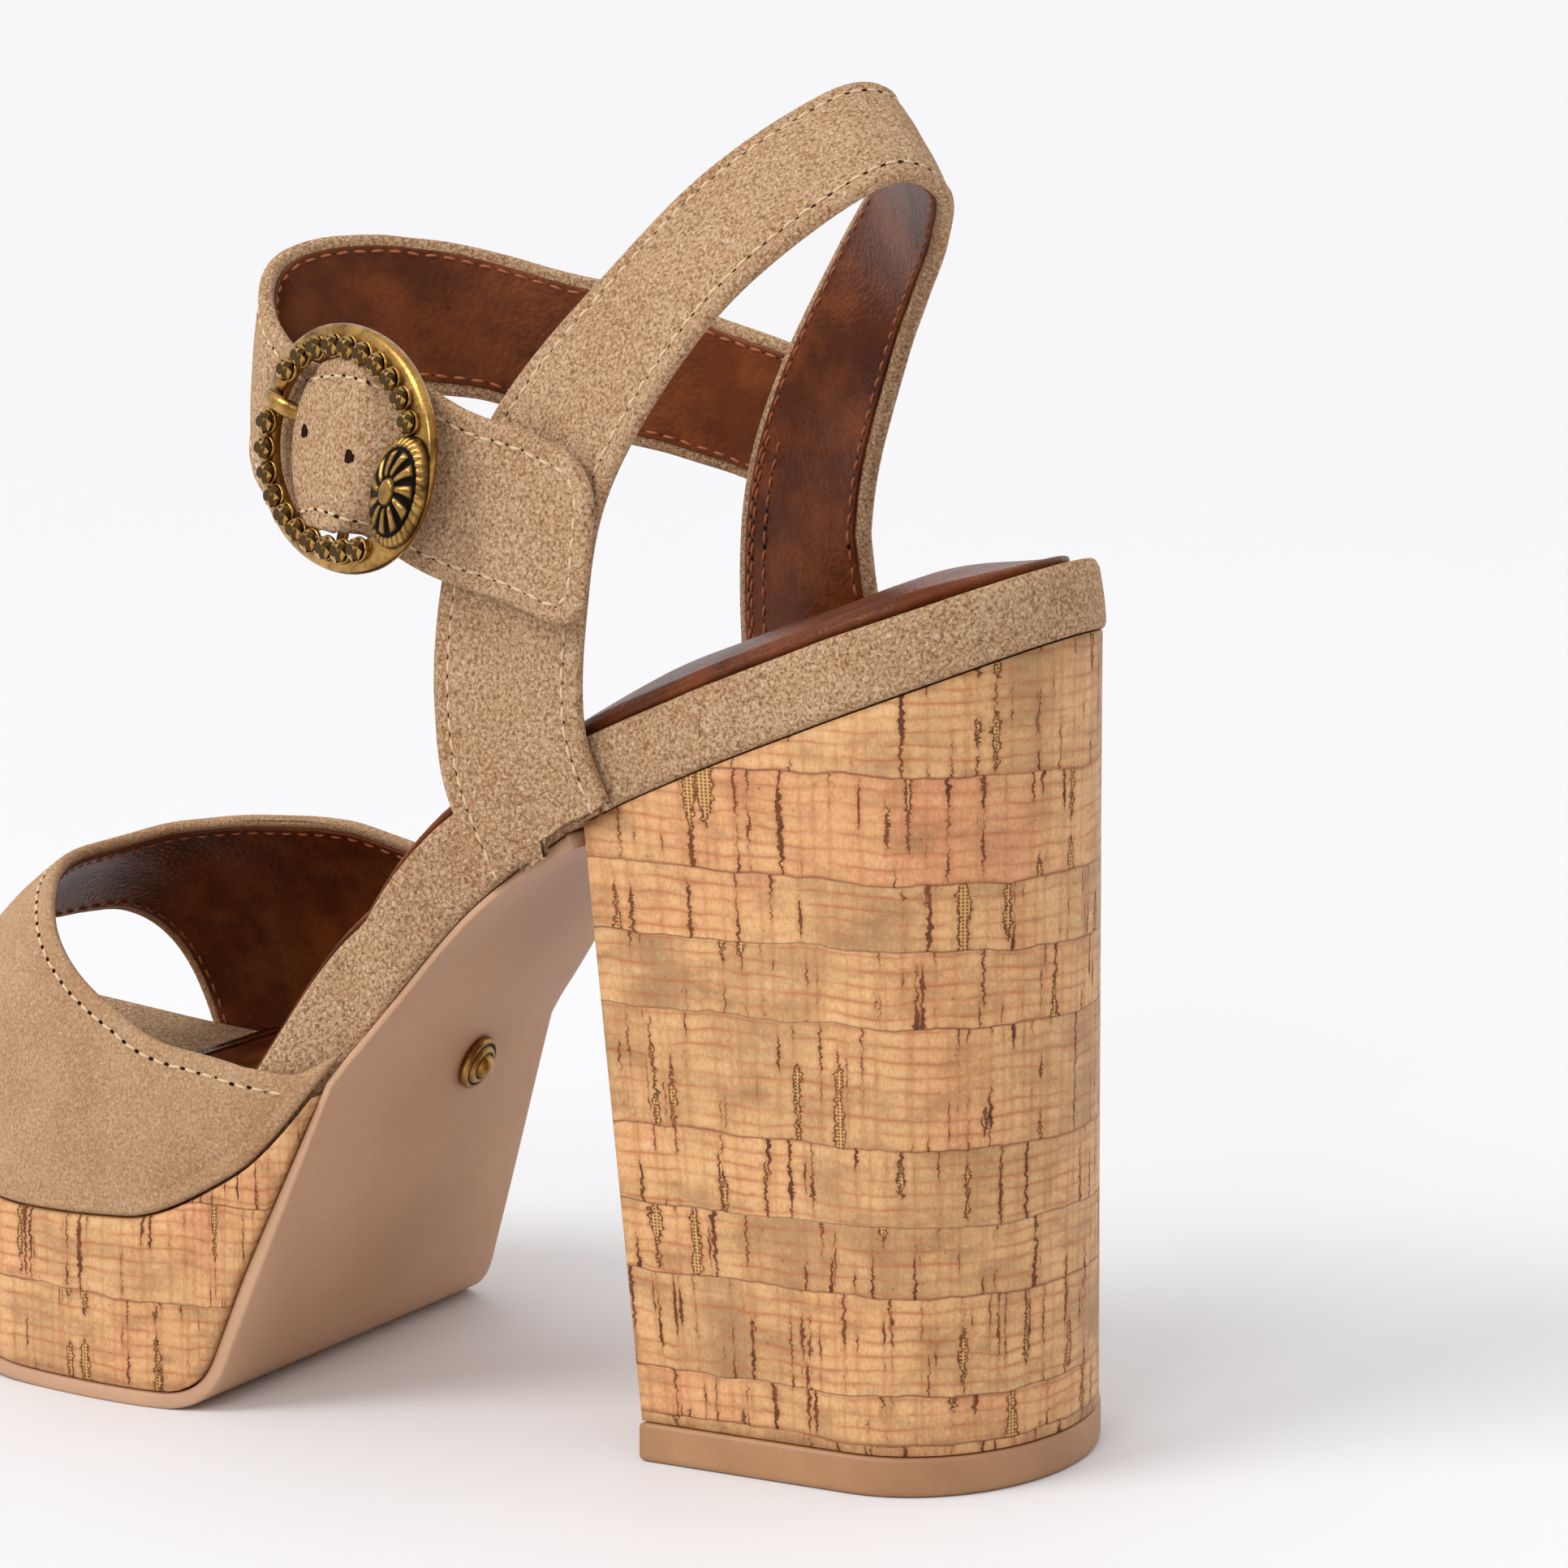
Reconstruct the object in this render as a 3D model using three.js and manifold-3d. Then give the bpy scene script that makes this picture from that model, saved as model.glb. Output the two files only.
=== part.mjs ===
// Block-heeled platform sandal with an open toe, a sling strap and a buckled ankle strap: the left shoe.
// Lengths are millimetres. x points to the inner side of the left foot, y from heel to toe, z up.
// The tables below measure y from the back of the heel; the finished group has its origin
// on the floor at the middle of the heel tip.
import * as THREE from 'three';
import { mergeVertices } from 'three/addons/utils/BufferGeometryUtils.js';
import Module from 'manifold-3d';

const wasm = await Module();
wasm.setup();

// Driving sizes of the sole
const SHOE_LENGTH = 216;
const BALL_WIDTH = 90;
const HEEL_HEIGHT = 125;          // floor to the underside of the footbed at the back
const PLATFORM_HEIGHT = 29;       // floor to the underside of the footbed at the ball
const TOE_SPRING = 12;
const FOOTBED_THICKNESS = 11;
const HEEL_EDGE_LEAN = 1.8;       // how far the top of the footbed's edge leans forward at the back
const HEEL_EDGE_DROP = 0.9;       // how much thinner the footbed is at the back
const ARCH_RISE = 5;              // how far the inner edge stands above the outer edge at the arch
const INSOLE_THICKNESS = 1.5;
const HEEL_PAD_CROWN = 3.8;
const OUTSOLE_THICKNESS = 2.5;
const WAIST_THINNING = 1.3;        // how much thinner the outsole is under the arch
const WAIST_DROP = 0.8;           // how much deeper the footbed is under the arch
const TOP_LIFT_THICKNESS = 6;
const HEEL_TIP_WIDTH = 60;
const HEEL_TIP_DEPTH = 58;
const HEEL_TOP_DEPTH = 69;
const HEEL_INSET = 0.7;           // cork lies this far inside the footbed's edge

// Driving sizes of the upper
const UPPER_WALL = 2;
const TOE_BOX_HEIGHT = 58;        // underside of the footbed to the crest of the toe piece
const STRAP_WIDTH = 25.5;
const STRAP_WALL = 2.4;
const ANKLE_WIDTH = 62;           // across the ankle, outside the straps
const SLING_RISE = 78;            // footbed underside to the middle of the strap behind the heel
const ANKLE_RISE = 135;           // footbed underside to the middle of the strap over the instep
const STRAP_END_RADIUS = 7;

// Driving sizes of the buckle and studs
const BUCKLE_HEIGHT = 36.6;
const BUCKLE_WIDTH = 43;
const BUCKLE_DROP = 0.5;           // below the middle of the strap
const BUCKLE_TILT = -8;           // degrees round the buckle's middle, its back end lower
const RAIL_WIDTH = 4;
const BROAD_RAIL_WIDTH = 7;
const RAIL_THICKNESS = 2.6;
const BAR_RADIUS = 0.9;
const PRONG_RADIUS = 1.3;
const PRONG_SHIFT = 2.6;           // how far the prong's tip lies above its root
const CHAPE_WALL = 0.9;
const CHAPE_WIDTH = 14.6;
const CHAPE_LENGTH = 19;
const CHAPE_SINK = 10;            // how far the chape's end lies deeper than the bar
const STONE_WIDTH = 3.7;
const STONE_HEIGHT = 1.7;
const STONE_COUNT = 20;
const STONE_INSET = 3.4;          // from the frame's outer edge to a stone's middle
const BOSS_LENGTH = 17.4;
const BOSS_WIDTH = 12.5;
const BOSS_HEIGHT = 3;
const STUD_WIDTH = 9;
const STUD_HEIGHT = 3;

// Clearance between pieces that touch on the real shoe
const GAP = 0.3;

// The last: shares of the shoe's length, of the heel's climb and of the ball's width
const LAST = [
  { along: 0.000, climb: 1.000, outer: 0.306, inner: 0.298 },
  { along: 0.064, climb: 0.938, outer: 0.308, inner: 0.304 },
  { along: 0.149, climb: 0.861, outer: 0.311, inner: 0.312 },
  { along: 0.234, climb: 0.781, outer: 0.320, inner: 0.296 },
  { along: 0.319, climb: 0.689, outer: 0.313, inner: 0.273 },
  { along: 0.404, climb: 0.555, outer: 0.320, inner: 0.280 },
  { along: 0.490, climb: 0.323, outer: 0.369, inner: 0.342 },
  { along: 0.575, climb: 0.094, outer: 0.434, inner: 0.442 },
  { along: 0.660, climb: 0.010, outer: 0.469, inner: 0.527 },
  { along: 0.767, climb: 0.000, outer: 0.442, inner: 0.517 },
  { along: 0.873, climb: 0.000, outer: 0.333, inner: 0.489 },
  { along: 1.000, climb: 0.000, outer: 0.244, inner: 0.444 },
];

// How both ends of the outline close, and where the toe begins to lift
const HEEL_ROUND = { length: 0.130, middle: 0.024, power: 2 };
const TOE_ROUND = { length: 0.222, middle: 0.089, power: 2.3 };
const SPRING_START = 0.74;

// Height of the toe piece's crest along the shoe, as a share of the toe box height
const CREST = [
  { along: 0.460, height: 0.83 },
  { along: 0.570, height: 0.93 },
  { along: 0.625, height: 0.97 },
  { along: 0.676, height: 1.00 },
  { along: 0.741, height: 0.98 },
  { along: 0.801, height: 0.91 },
  { along: 0.847, height: 0.78 },
  { along: 0.907, height: 0.53 },
  { along: 1.000, height: 0.24 },
];
const CREST_SIDE = 0.056;
const CREST_POWER = 2.4;

// Edges of the toe piece, from its outer foot (0 degrees) over the crest to its inner foot
const VAMP_EDGES = [
  { turn: 0, throat: 0.500, toe: 0.836 },
  { turn: 4, throat: 0.530, toe: 0.842 },
  { turn: 12, throat: 0.563, toe: 0.852 },
  { turn: 20, throat: 0.609, toe: 0.860 },
  { turn: 27, throat: 0.667, toe: 0.867 },
  { turn: 34, throat: 0.717, toe: 0.873 },
  { turn: 42, throat: 0.753, toe: 0.880 },
  { turn: 52, throat: 0.780, toe: 0.887 },
  { turn: 64, throat: 0.803, toe: 0.894 },
  { turn: 78, throat: 0.821, toe: 0.901 },
  { turn: 90, throat: 0.826, toe: 0.904 },
  { turn: 99, throat: 0.816, toe: 0.903 },
  { turn: 107, throat: 0.786, toe: 0.898 },
  { turn: 112, throat: 0.741, toe: 0.894 },
  { turn: 116, throat: 0.692, toe: 0.890 },
  { turn: 121, throat: 0.653, toe: 0.886 },
  { turn: 130, throat: 0.615, toe: 0.880 },
  { turn: 146, throat: 0.580, toe: 0.869 },
  { turn: 164, throat: 0.550, toe: 0.856 },
  { turn: 180, throat: 0.530, toe: 0.843 },
];

// Middle line of the sling strap from its outer foot round the back of the ankle to its inner foot.
// side is a share of half the ankle's width, rise of the sling's rise; lean turns the strap's width
// up from level, tuck turns its front edge towards the leg, both in degrees
const SLING = [
  { side: -1.00, along: 0.336, rise: -0.04, lean: -36, tuck: 0 },
  { side: -1.02, along: 0.366, rise: 0.22, lean: -15, tuck: 0 },
  { side: -1.02, along: 0.366, rise: 0.48, lean: 3, tuck: 2 },
  { side: -1.04, along: 0.337, rise: 0.72, lean: 17, tuck: 12 },
  { side: -0.95, along: 0.262, rise: 0.91, lean: 24, tuck: 29 },
  { side: -0.78, along: 0.199, rise: 1.02, lean: 30, tuck: 32 },
  { side: -0.48, along: 0.137, rise: 1.08, lean: 35, tuck: 35 },
  { side: -0.15, along: 0.118, rise: 1.04, lean: 42, tuck: 29 },
  { side: 0.20, along: 0.140, rise: 0.98, lean: 50, tuck: 26 },
  { side: 0.53, along: 0.174, rise: 0.91, lean: 56, tuck: 26 },
  { side: 0.75, along: 0.213, rise: 0.82, lean: 47, tuck: 24 },
  { side: 0.87, along: 0.258, rise: 0.64, lean: 29, tuck: 17 },
  { side: 0.91, along: 0.278, rise: 0.47, lean: 10, tuck: 12 },
  { side: 0.92, along: 0.280, rise: 0.22, lean: -6, tuck: 12 },
  { side: 0.91, along: 0.266, rise: -0.01, lean: -17, tuck: 6 },
];

// Middle line of the ankle strap from its free end, forward over the instep, to its sewn inner end.
// over is 1 where the strap lies on the sling strap
const ANKLE = [
  { side: -1.13, along: 0.288, rise: 0.278, lean: 95, over: 1 },
  { side: -1.08, along: 0.345, rise: 0.361, lean: 98, over: 1 },
  { side: -1.02, along: 0.411, rise: 0.466, lean: 106, over: 1 },
  { side: -0.98, along: 0.478, rise: 0.638, lean: 108, over: 0.6 },
  { side: -0.81, along: 0.546, rise: 0.773, lean: 97, over: 0 },
  { side: -0.53, along: 0.616, rise: 0.909, lean: 96, over: 0 },
  { side: -0.16, along: 0.641, rise: 0.981, lean: 92, over: 0 },
  { side: 0.23, along: 0.606, rise: 0.979, lean: 79, over: 0 },
  { side: 0.60, along: 0.554, rise: 0.914, lean: 76, over: 0 },
  { side: 0.86, along: 0.489, rise: 0.748, lean: 83, over: 0 },
  { side: 0.99, along: 0.421, rise: 0.587, lean: 85, over: 0.3 },
  { side: 1.01, along: 0.358, rise: 0.474, lean: 80, over: 1 },
  { side: 0.97, along: 0.276, rise: 0.364, lean: 79, over: 1 },
];
const BUCKLE_PLACE = 3.16;        // row of the ankle strap's table where the buckle's bar lies

// Clamps a number between two limits
const clamp = (value, low, high) => Math.min(high, Math.max(low, value));
const toRadians = THREE.MathUtils.degToRad;

// A curve through a table's rows that never overshoots them
function through(rows, column, x) {
  const last = rows.length - 1;
  const slope = (i) => (rows[i + 1][column] - rows[i][column]) / (rows[i + 1].along - rows[i].along);
  const tangent = (i) => {
    if (i === 0) return slope(0);
    if (i === last) return slope(last - 1);
    const product = slope(i - 1) * slope(i);
    return product <= 0 ? 0 : (2 * product) / (slope(i - 1) + slope(i));
  };
  const at = clamp(x, rows[0].along, rows[last].along);
  const i = clamp(rows.findIndex((row) => row.along >= at) - 1, 0, last - 1);
  const span = rows[i + 1].along - rows[i].along;
  const t = (at - rows[i].along) / span;
  const rise = t * t * (3 - 2 * t);
  return rows[i][column] * (1 - rise) + rows[i + 1][column] * rise
    + span * (t * (1 - t) * (1 - t) * tangent(i) - t * t * (1 - t) * tangent(i + 1));
}

// A smooth blend of all columns of a table at a place counted in rows
function blend(rows, place) {
  const i = clamp(Math.floor(place), 0, rows.length - 2);
  const t = place - i;
  const row = (k) => rows[clamp(k, 0, rows.length - 1)];
  const result = {};
  for (const column of Object.keys(rows[0])) {
    const [a, b, c, d] = [row(i - 1), row(i), row(i + 1), row(i + 2)].map((entry) => entry[column]);
    result[column] = b + 0.5 * t * (c - a + t * (2 * a - 5 * b + 4 * c - d + t * (3 * (b - c) + d - a)));
  }
  return result;
}

// Numbers from first to last in equal steps
function steps(first, last, count) {
  return Array.from({ length: count + 1 }, (_, k) => first + ((last - first) * k) / count);
}

// Height of the footbed's underside above the floor
function toeLift(y) {
  const share = clamp((y / SHOE_LENGTH - SPRING_START) / (1 - SPRING_START), 0, 1);
  return TOE_SPRING * share * share;
}
function bed(y) {
  const climb = through(LAST, 'climb', y / SHOE_LENGTH);
  return PLATFORM_HEIGHT + climb * (HEEL_HEIGHT - PLATFORM_HEIGHT) + toeLift(y);
}
function waistShare(y) {
  const share = y / SHOE_LENGTH;
  return clamp((share - 0.32) / 0.05, 0, 1) * clamp((0.56 - share) / 0.05, 0, 1);
}
const underside = (y) => bed(y) - WAIST_DROP * waistShare(y);
const outsoleThickness = (y) => OUTSOLE_THICKNESS - WAIST_THINNING * waistShare(y);
function bedSlope(y) {
  const step = 0.5;
  return (bed(y + step) - bed(y - step)) / (2 * step);
}

// Left and right edge of the shoe's outline at a distance from the heel
function outline(y) {
  const share = clamp(y / SHOE_LENGTH, 0, 1);
  const sides = [-through(LAST, 'outer', share) * BALL_WIDTH, through(LAST, 'inner', share) * BALL_WIDTH];
  const close = (round, depth) => {
    const middle = round.middle * BALL_WIDTH;
    const width = (1 - clamp(depth, 0, 1) ** round.power) ** (1 / round.power);
    return sides.map((side) => middle + (side - middle) * width);
  };
  if (share < HEEL_ROUND.length) return close(HEEL_ROUND, 1 - share / HEEL_ROUND.length);
  if (share > 1 - TOE_ROUND.length) return close(TOE_ROUND, (share - 1) / TOE_ROUND.length + 1);
  return sides;
}

// Stations along the shoe, closer together where the outline turns round an end
function stations(first, last) {
  const heelRound = HEEL_ROUND.length * SHOE_LENGTH;
  const toeRound = TOE_ROUND.length * SHOE_LENGTH;
  const turn = steps(toRadians(9), toRadians(90), 7);
  const heel = turn.map((angle) => heelRound * (1 - Math.cos(angle)));
  const toe = turn.map((angle) => SHOE_LENGTH - toeRound * (1 - Math.cos(angle))).reverse();
  const middle = steps(heelRound, SHOE_LENGTH - toeRound, 20).slice(1, -1);
  const inside = [...heel, ...middle, ...toe].filter((y) => y > first + 1 && y < last - 1);
  return [first, ...inside, last];
}
const HEEL_END = HEEL_ROUND.length * SHOE_LENGTH * (1 - Math.cos(toRadians(9)));
const TOE_END = SHOE_LENGTH - TOE_ROUND.length * SHOE_LENGTH * (1 - Math.cos(toRadians(9)));

// A mesh from points and triangles, turned so that its faces point out
function closedGeometry(points, triangles) {
  const volume = triangles.reduce((sum, [a, b, c]) => {
    const cross = points[b].clone().cross(points[c]);
    return sum + points[a].dot(cross);
  }, 0);
  const outward = volume < 0 ? triangles.map(([a, b, c]) => [a, c, b]) : triangles;
  const geometry = new THREE.BufferGeometry();
  geometry.setAttribute('position', new THREE.Float32BufferAttribute(points.flatMap((p) => p.toArray()), 3));
  geometry.setIndex(outward.flat());
  return geometry;
}

// A plate between stacked rings. Each ring is a list of [outer point, inner point] pairs from heel
// to toe, each point an x, y pair, with the height of the ring as a function of x and y
function plate(rings, columns = 6) {
  const points = [];
  const triangles = [];
  const quad = (a, b, c, d) => triangles.push([a, b, c], [a, c, d]);
  const grids = rings.map(({ pairs, height }) => pairs.map(([outer, inner]) => (
    steps(0, 1, columns).map((share) => {
      const x = outer[0] + (inner[0] - outer[0]) * share;
      const y = outer[1] + (inner[1] - outer[1]) * share;
      return new THREE.Vector3(x, y, height(x, y));
    }))));
  const last = grids[0].length - 1;
  const isEdge = (i, j) => i === 0 || i === last || j === 0 || j === columns;
  const numbers = grids.map((grid, k) => {
    const covered = k === 0 || k === grids.length - 1;
    return grid.map((row, i) => row.map((p, j) => (covered || isEdge(i, j) ? points.push(p) - 1 : -1)));
  });
  const loops = numbers.map((grid) => [
    ...grid.map((row) => row[0]),
    ...grid[last].slice(1, -1),
    ...grid.map((row) => row[columns]).reverse(),
    ...grid[0].slice(1, -1).reverse(),
  ]);
  for (let k = 0; k < loops.length - 1; k += 1) {
    loops[k].forEach((a, j) => {
      const next = (j + 1) % loops[k].length;
      quad(a, loops[k][next], loops[k + 1][next], loops[k + 1][j]);
    });
  }
  const cover = (grid, flip) => {
    for (let i = 0; i < last; i += 1) {
      for (let j = 0; j < columns; j += 1) {
        const corners = [grid[i][j], grid[i + 1][j], grid[i + 1][j + 1], grid[i][j + 1]];
        quad(...(flip ? corners.reverse() : corners));
      }
    }
  };
  cover(numbers[0], true);
  cover(numbers.at(-1), false);
  return closedGeometry(points, triangles);
}

// Pairs of outline points, moved in by an inset along the outline's own normal
function outlinePairs(list, inset) {
  const shift = (y, side) => {
    const step = 0.4;
    const at = outline(y)[side];
    const slope = (outline(y + step)[side] - outline(y - step)[side]) / (2 * step);
    const size = Math.hypot(1, slope);
    const inward = side === 0 ? 1 : -1;
    return [at + (inward * inset) / size, y - (inward * inset * slope) / size];
  };
  return list.map((y) => [shift(y, 0), shift(y, 1)]);
}

// A closed skin between an outer grid of points and the same grid moved in by the wall
function shell(outer, wall, centre) {
  const rows = outer.length;
  const columns = outer[0].length;
  const normal = (i, j) => {
    const down = outer[Math.min(i + 1, rows - 1)][j].clone().sub(outer[Math.max(i - 1, 0)][j]);
    const across = outer[i][Math.min(j + 1, columns - 1)].clone().sub(outer[i][Math.max(j - 1, 0)]);
    const n = down.cross(across).normalize();
    return n.dot(outer[i][j].clone().sub(centre(outer[i][j]))) < 0 ? n.negate() : n;
  };
  const points = outer.flat();
  outer.forEach((row, i) => row.forEach((p, j) => points.push(p.clone().addScaledVector(normal(i, j), -wall))));
  const offset = rows * columns;
  const triangles = [];
  const quad = (a, b, c, d) => triangles.push([a, b, c], [a, c, d]);
  const at = (i, j) => i * columns + j;
  for (let i = 0; i < rows - 1; i += 1) {
    for (let j = 0; j < columns - 1; j += 1) {
      const [a, b, c, d] = [at(i, j), at(i + 1, j), at(i + 1, j + 1), at(i, j + 1)];
      quad(a, b, c, d);
      quad(offset + d, offset + c, offset + b, offset + a);
    }
  }
  const border = [];
  for (let j = 0; j < columns - 1; j += 1) border.push([at(0, j), at(0, j + 1)]);
  for (let i = 0; i < rows - 1; i += 1) border.push([at(i, columns - 1), at(i + 1, columns - 1)]);
  for (let j = columns - 1; j > 0; j -= 1) border.push([at(rows - 1, j), at(rows - 1, j - 1)]);
  for (let i = rows - 1; i > 0; i -= 1) border.push([at(i, 0), at(i - 1, 0)]);
  for (const [a, b] of border) quad(a, b, offset + b, offset + a);
  return closedGeometry(points, triangles);
}

// A tube of rings; closed joins the last ring to the first
function tube(rings, closed) {
  const around = rings[0].length;
  const points = rings.flat();
  const triangles = [];
  const joins = closed ? rings.length : rings.length - 1;
  for (let i = 0; i < joins; i += 1) {
    for (let j = 0; j < around; j += 1) {
      const next = (j + 1) % around;
      const a = i * around;
      const b = ((i + 1) % rings.length) * around;
      triangles.push([a + j, a + next, b + next], [a + j, b + next, b + j]);
    }
  }
  if (!closed) {
    const end = (rings.length - 1) * around;
    for (let j = 1; j < around - 1; j += 1) {
      triangles.push([0, j + 1, j], [end, end + j, end + j + 1]);
    }
  }
  return closedGeometry(points, triangles);
}

// A library shape with its shared corners merged and its flat triangles dropped
function welded(geometry) {
  geometry.deleteAttribute('normal');
  geometry.deleteAttribute('uv');
  const merged = mergeVertices(geometry, 1e-4);
  const index = Array.from(merged.index.array);
  const kept = [];
  for (let k = 0; k < index.length; k += 3) {
    const [a, b, c] = index.slice(k, k + 3);
    if (a !== b && b !== c && a !== c) kept.push(a, b, c);
  }
  merged.setIndex(kept);
  return merged;
}

// Solids for cutting and joining
function solid(geometry) {
  const vertProperties = Float32Array.from(geometry.attributes.position.array);
  const triVerts = Uint32Array.from(geometry.index.array);
  return new wasm.Manifold(new wasm.Mesh({ numProp: 3, vertProperties, triVerts }));
}
function fromSolid(body) {
  const mesh = body.getMesh();
  const geometry = new THREE.BufferGeometry();
  geometry.setAttribute('position', new THREE.Float32BufferAttribute(mesh.vertProperties, 3));
  geometry.setIndex(Array.from(mesh.triVerts));
  return geometry;
}

// Colours and finishes of the real materials
const finish = (color, roughness, metalness = 0) => new THREE.MeshStandardMaterial({ color, roughness, metalness });
const SUEDE = finish(0xc09870, 0.95);
const CORK = finish(0xdaae7c, 0.75);
const SOLE_TAN = finish(0xbe967d, 0.5);
const TIP_TAN = finish(0xaa7850, 0.55);
const LINING = finish(0x7a4322, 0.45);
const OLD_GOLD = finish(0xb48c32, 0.35, 1);
const STONE = finish(0x6a4a1c, 0.15, 0.6);

const shoe = new THREE.Group();
function piece(name, geometry, material) {
  geometry.computeVertexNormals();
  const mesh = new THREE.Mesh(geometry, material);
  mesh.name = name;
  shoe.add(mesh);
  return mesh;
}

// Top of the footbed: thicker where it slopes, and higher along the inner side of the arch
function archShare(x, y) {
  const share = y / SHOE_LENGTH;
  const along = clamp((share - 0.16) / 0.14, 0, 1) * clamp((0.56 - share) / 0.14, 0, 1);
  const [outer, inner] = outline(y);
  const across = clamp((x - outer) / (inner - outer), 0, 1);
  return along * across * across;
}
const heelShare = (y) => clamp(1 - y / (0.13 * SHOE_LENGTH), 0, 1);
function footbedTop(x, y) {
  const thickness = FOOTBED_THICKNESS * Math.hypot(1, bedSlope(y)) - HEEL_EDGE_DROP * heelShare(y);
  return bed(y) + thickness + ARCH_RISE * archShare(x, y);
}

// The toe piece wraps the footbed's edge, so the footbed is narrower from there on
const VAMP_START = VAMP_EDGES[0].throat * SHOE_LENGTH;
function wrapInset(y) {
  const ramp = 6;
  return (UPPER_WALL + 2 * GAP) * clamp((y - VAMP_START + ramp + 2) / ramp, 0, 1);
}

// Suede-wrapped footbed with eased edges
function edgePairs(list, inset, lean) {
  return list.map((y) => outlinePairs([y], inset + wrapInset(y))[0]
    .map(([px, py]) => [px, py + lean * HEEL_EDGE_LEAN * heelShare(py)]));
}
const footbedPairs = (inset, lean) => edgePairs(stations(HEEL_END, TOE_END), inset, lean);
const EDGE_EASE = 1.4;
const EASE_SHARE = 0.2;
const between = (share) => (x, y) => underside(y) + (footbedTop(x, y) - underside(y)) * share;
piece('footbed', plate([
  { pairs: footbedPairs(EDGE_EASE / 2, 0), height: (x, y) => underside(y) },
  { pairs: footbedPairs(0, EASE_SHARE / 2), height: between(EASE_SHARE / 2) },
  { pairs: footbedPairs(0, 1 - EASE_SHARE), height: between(1 - EASE_SHARE) },
  { pairs: footbedPairs(EDGE_EASE, 1), height: footbedTop },
]), SUEDE);

// Brown insole sock with a padded heel seat, ending under the toes
const SOCK_INSET = 2.2;
const SOCK_LEAN = 2.5;
const SOCK_END = 0.80 * SHOE_LENGTH;
function padCrown(x, y) {
  const [outer, inner] = outline(clamp(y, HEEL_END, TOE_END));
  const across = clamp((2 * (x - outer)) / (inner - outer) - 1, -1, 1);
  const rear = clamp((y / SHOE_LENGTH - 0.03) / 0.08, 0, 1);
  const along = rear * rear * (3 - 2 * rear) * clamp((0.50 - y / SHOE_LENGTH) / 0.2, 0, 1);
  return HEEL_PAD_CROWN * (1 - across * across) * along;
}
const sockStations = stations(HEEL_END, SOCK_END);
const sockPairs = (inset) => edgePairs(sockStations, inset, SOCK_LEAN);
piece('insole', plate([
  { pairs: sockPairs(SOCK_INSET), height: (x, y) => footbedTop(x, y) + GAP },
  { pairs: sockPairs(SOCK_INSET), height: (x, y) => footbedTop(x, y) + GAP + INSOLE_THICKNESS / 2 },
  { pairs: sockPairs(SOCK_INSET + 1.2), height: (x, y) => footbedTop(x, y) + GAP + INSOLE_THICKNESS + padCrown(x, y) },
], 8), LINING);

// Side view of the outsole's lower face: it hugs the waist, drops to the floor and lifts at the toe
const OUTSOLE_START = HEEL_TOP_DEPTH + 1;
const WAIST_END = 0.507 * SHOE_LENGTH;
const FLOOR_START = 0.597 * SHOE_LENGTH;
function outsoleProfile() {
  const hug = (y) => underside(y) - GAP - outsoleThickness(y) * Math.hypot(1, bedSlope(y));
  const waist = steps(OUTSOLE_START, WAIST_END, 8).map((y) => [y, hug(y)]);
  const [startY, startZ] = waist.at(-1);
  const bend = 8;
  const drop = new THREE.Path();
  const slope = startZ / (FLOOR_START - startY);
  const size = Math.hypot(1, slope);
  const corner = [FLOOR_START - bend / size, (bend * slope) / size];
  drop.moveTo(startY, startZ);
  drop.lineTo(corner[0], corner[1]);
  drop.quadraticCurveTo(FLOOR_START, 0, FLOOR_START + bend, 0);
  const fall = drop.getPoints(5).map((p) => [p.x, p.y]);
  const floor = steps(FLOOR_START + bend, TOE_END, 14).map((y) => [y, toeLift(y)]);
  return [...waist, ...fall.slice(1), ...floor.slice(1)];
}
const profile = outsoleProfile();
function profileNormal(i) {
  const before = profile[Math.max(i - 1, 0)];
  const after = profile[Math.min(i + 1, profile.length - 1)];
  const size = Math.hypot(after[0] - before[0], after[1] - before[1]);
  return [-(after[1] - before[1]) / size, (after[0] - before[0]) / size];
}
const OUTSOLE_INSET = 0.6;
const outsoleRings = profile.map(([y, z], i) => {
  const [outer, inner] = outlinePairs([clamp(y, HEEL_END, TOE_END)], OUTSOLE_INSET)[0];
  const [ny, nz] = profileNormal(i);
  const lower = steps(outer[0], inner[0], 6).map((x) => new THREE.Vector3(x, y, z));
  const thick = outsoleThickness(y);
  const upper = lower.map((p) => new THREE.Vector3(p.x, y + ny * thick, z + nz * thick));
  return [...lower, ...upper.reverse()];
});
function strip(rings) {
  const half = rings[0].length / 2;
  const points = rings.flat();
  const around = rings[0].length;
  const triangles = [];
  const quad = (a, b, c, d) => triangles.push([a, b, c], [a, c, d]);
  for (let i = 0; i < rings.length - 1; i += 1) {
    for (let j = 0; j < around; j += 1) {
      const next = (j + 1) % around;
      quad(i * around + j, i * around + next, (i + 1) * around + next, (i + 1) * around + j);
    }
  }
  const end = (rings.length - 1) * around;
  for (let j = 0; j < half - 1; j += 1) {
    quad(around - 1 - j, around - 2 - j, j + 1, j);
    quad(end + j, end + j + 1, end + around - 2 - j, end + around - 1 - j);
  }
  return closedGeometry(points, triangles);
}
piece('outsole', strip(outsoleRings), SOLE_TAN);

// Height of the outsole's upper face, where the cork platform stands
function outsoleTop(y) {
  const line = profile.map(([py, pz], i) => {
    const reach = outsoleThickness(py) + GAP;
    const [ny, nz] = profileNormal(i);
    return [py + ny * reach, pz + nz * reach];
  });
  const beyond = line.findIndex((p) => p[0] >= y);
  const i = beyond < 0 ? line.length - 2 : clamp(beyond - 1, 0, line.length - 2);
  const share = (y - line[i][0]) / (line[i + 1][0] - line[i][0]);
  return line[i][1] + (line[i + 1][1] - line[i][1]) * share;
}

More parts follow.
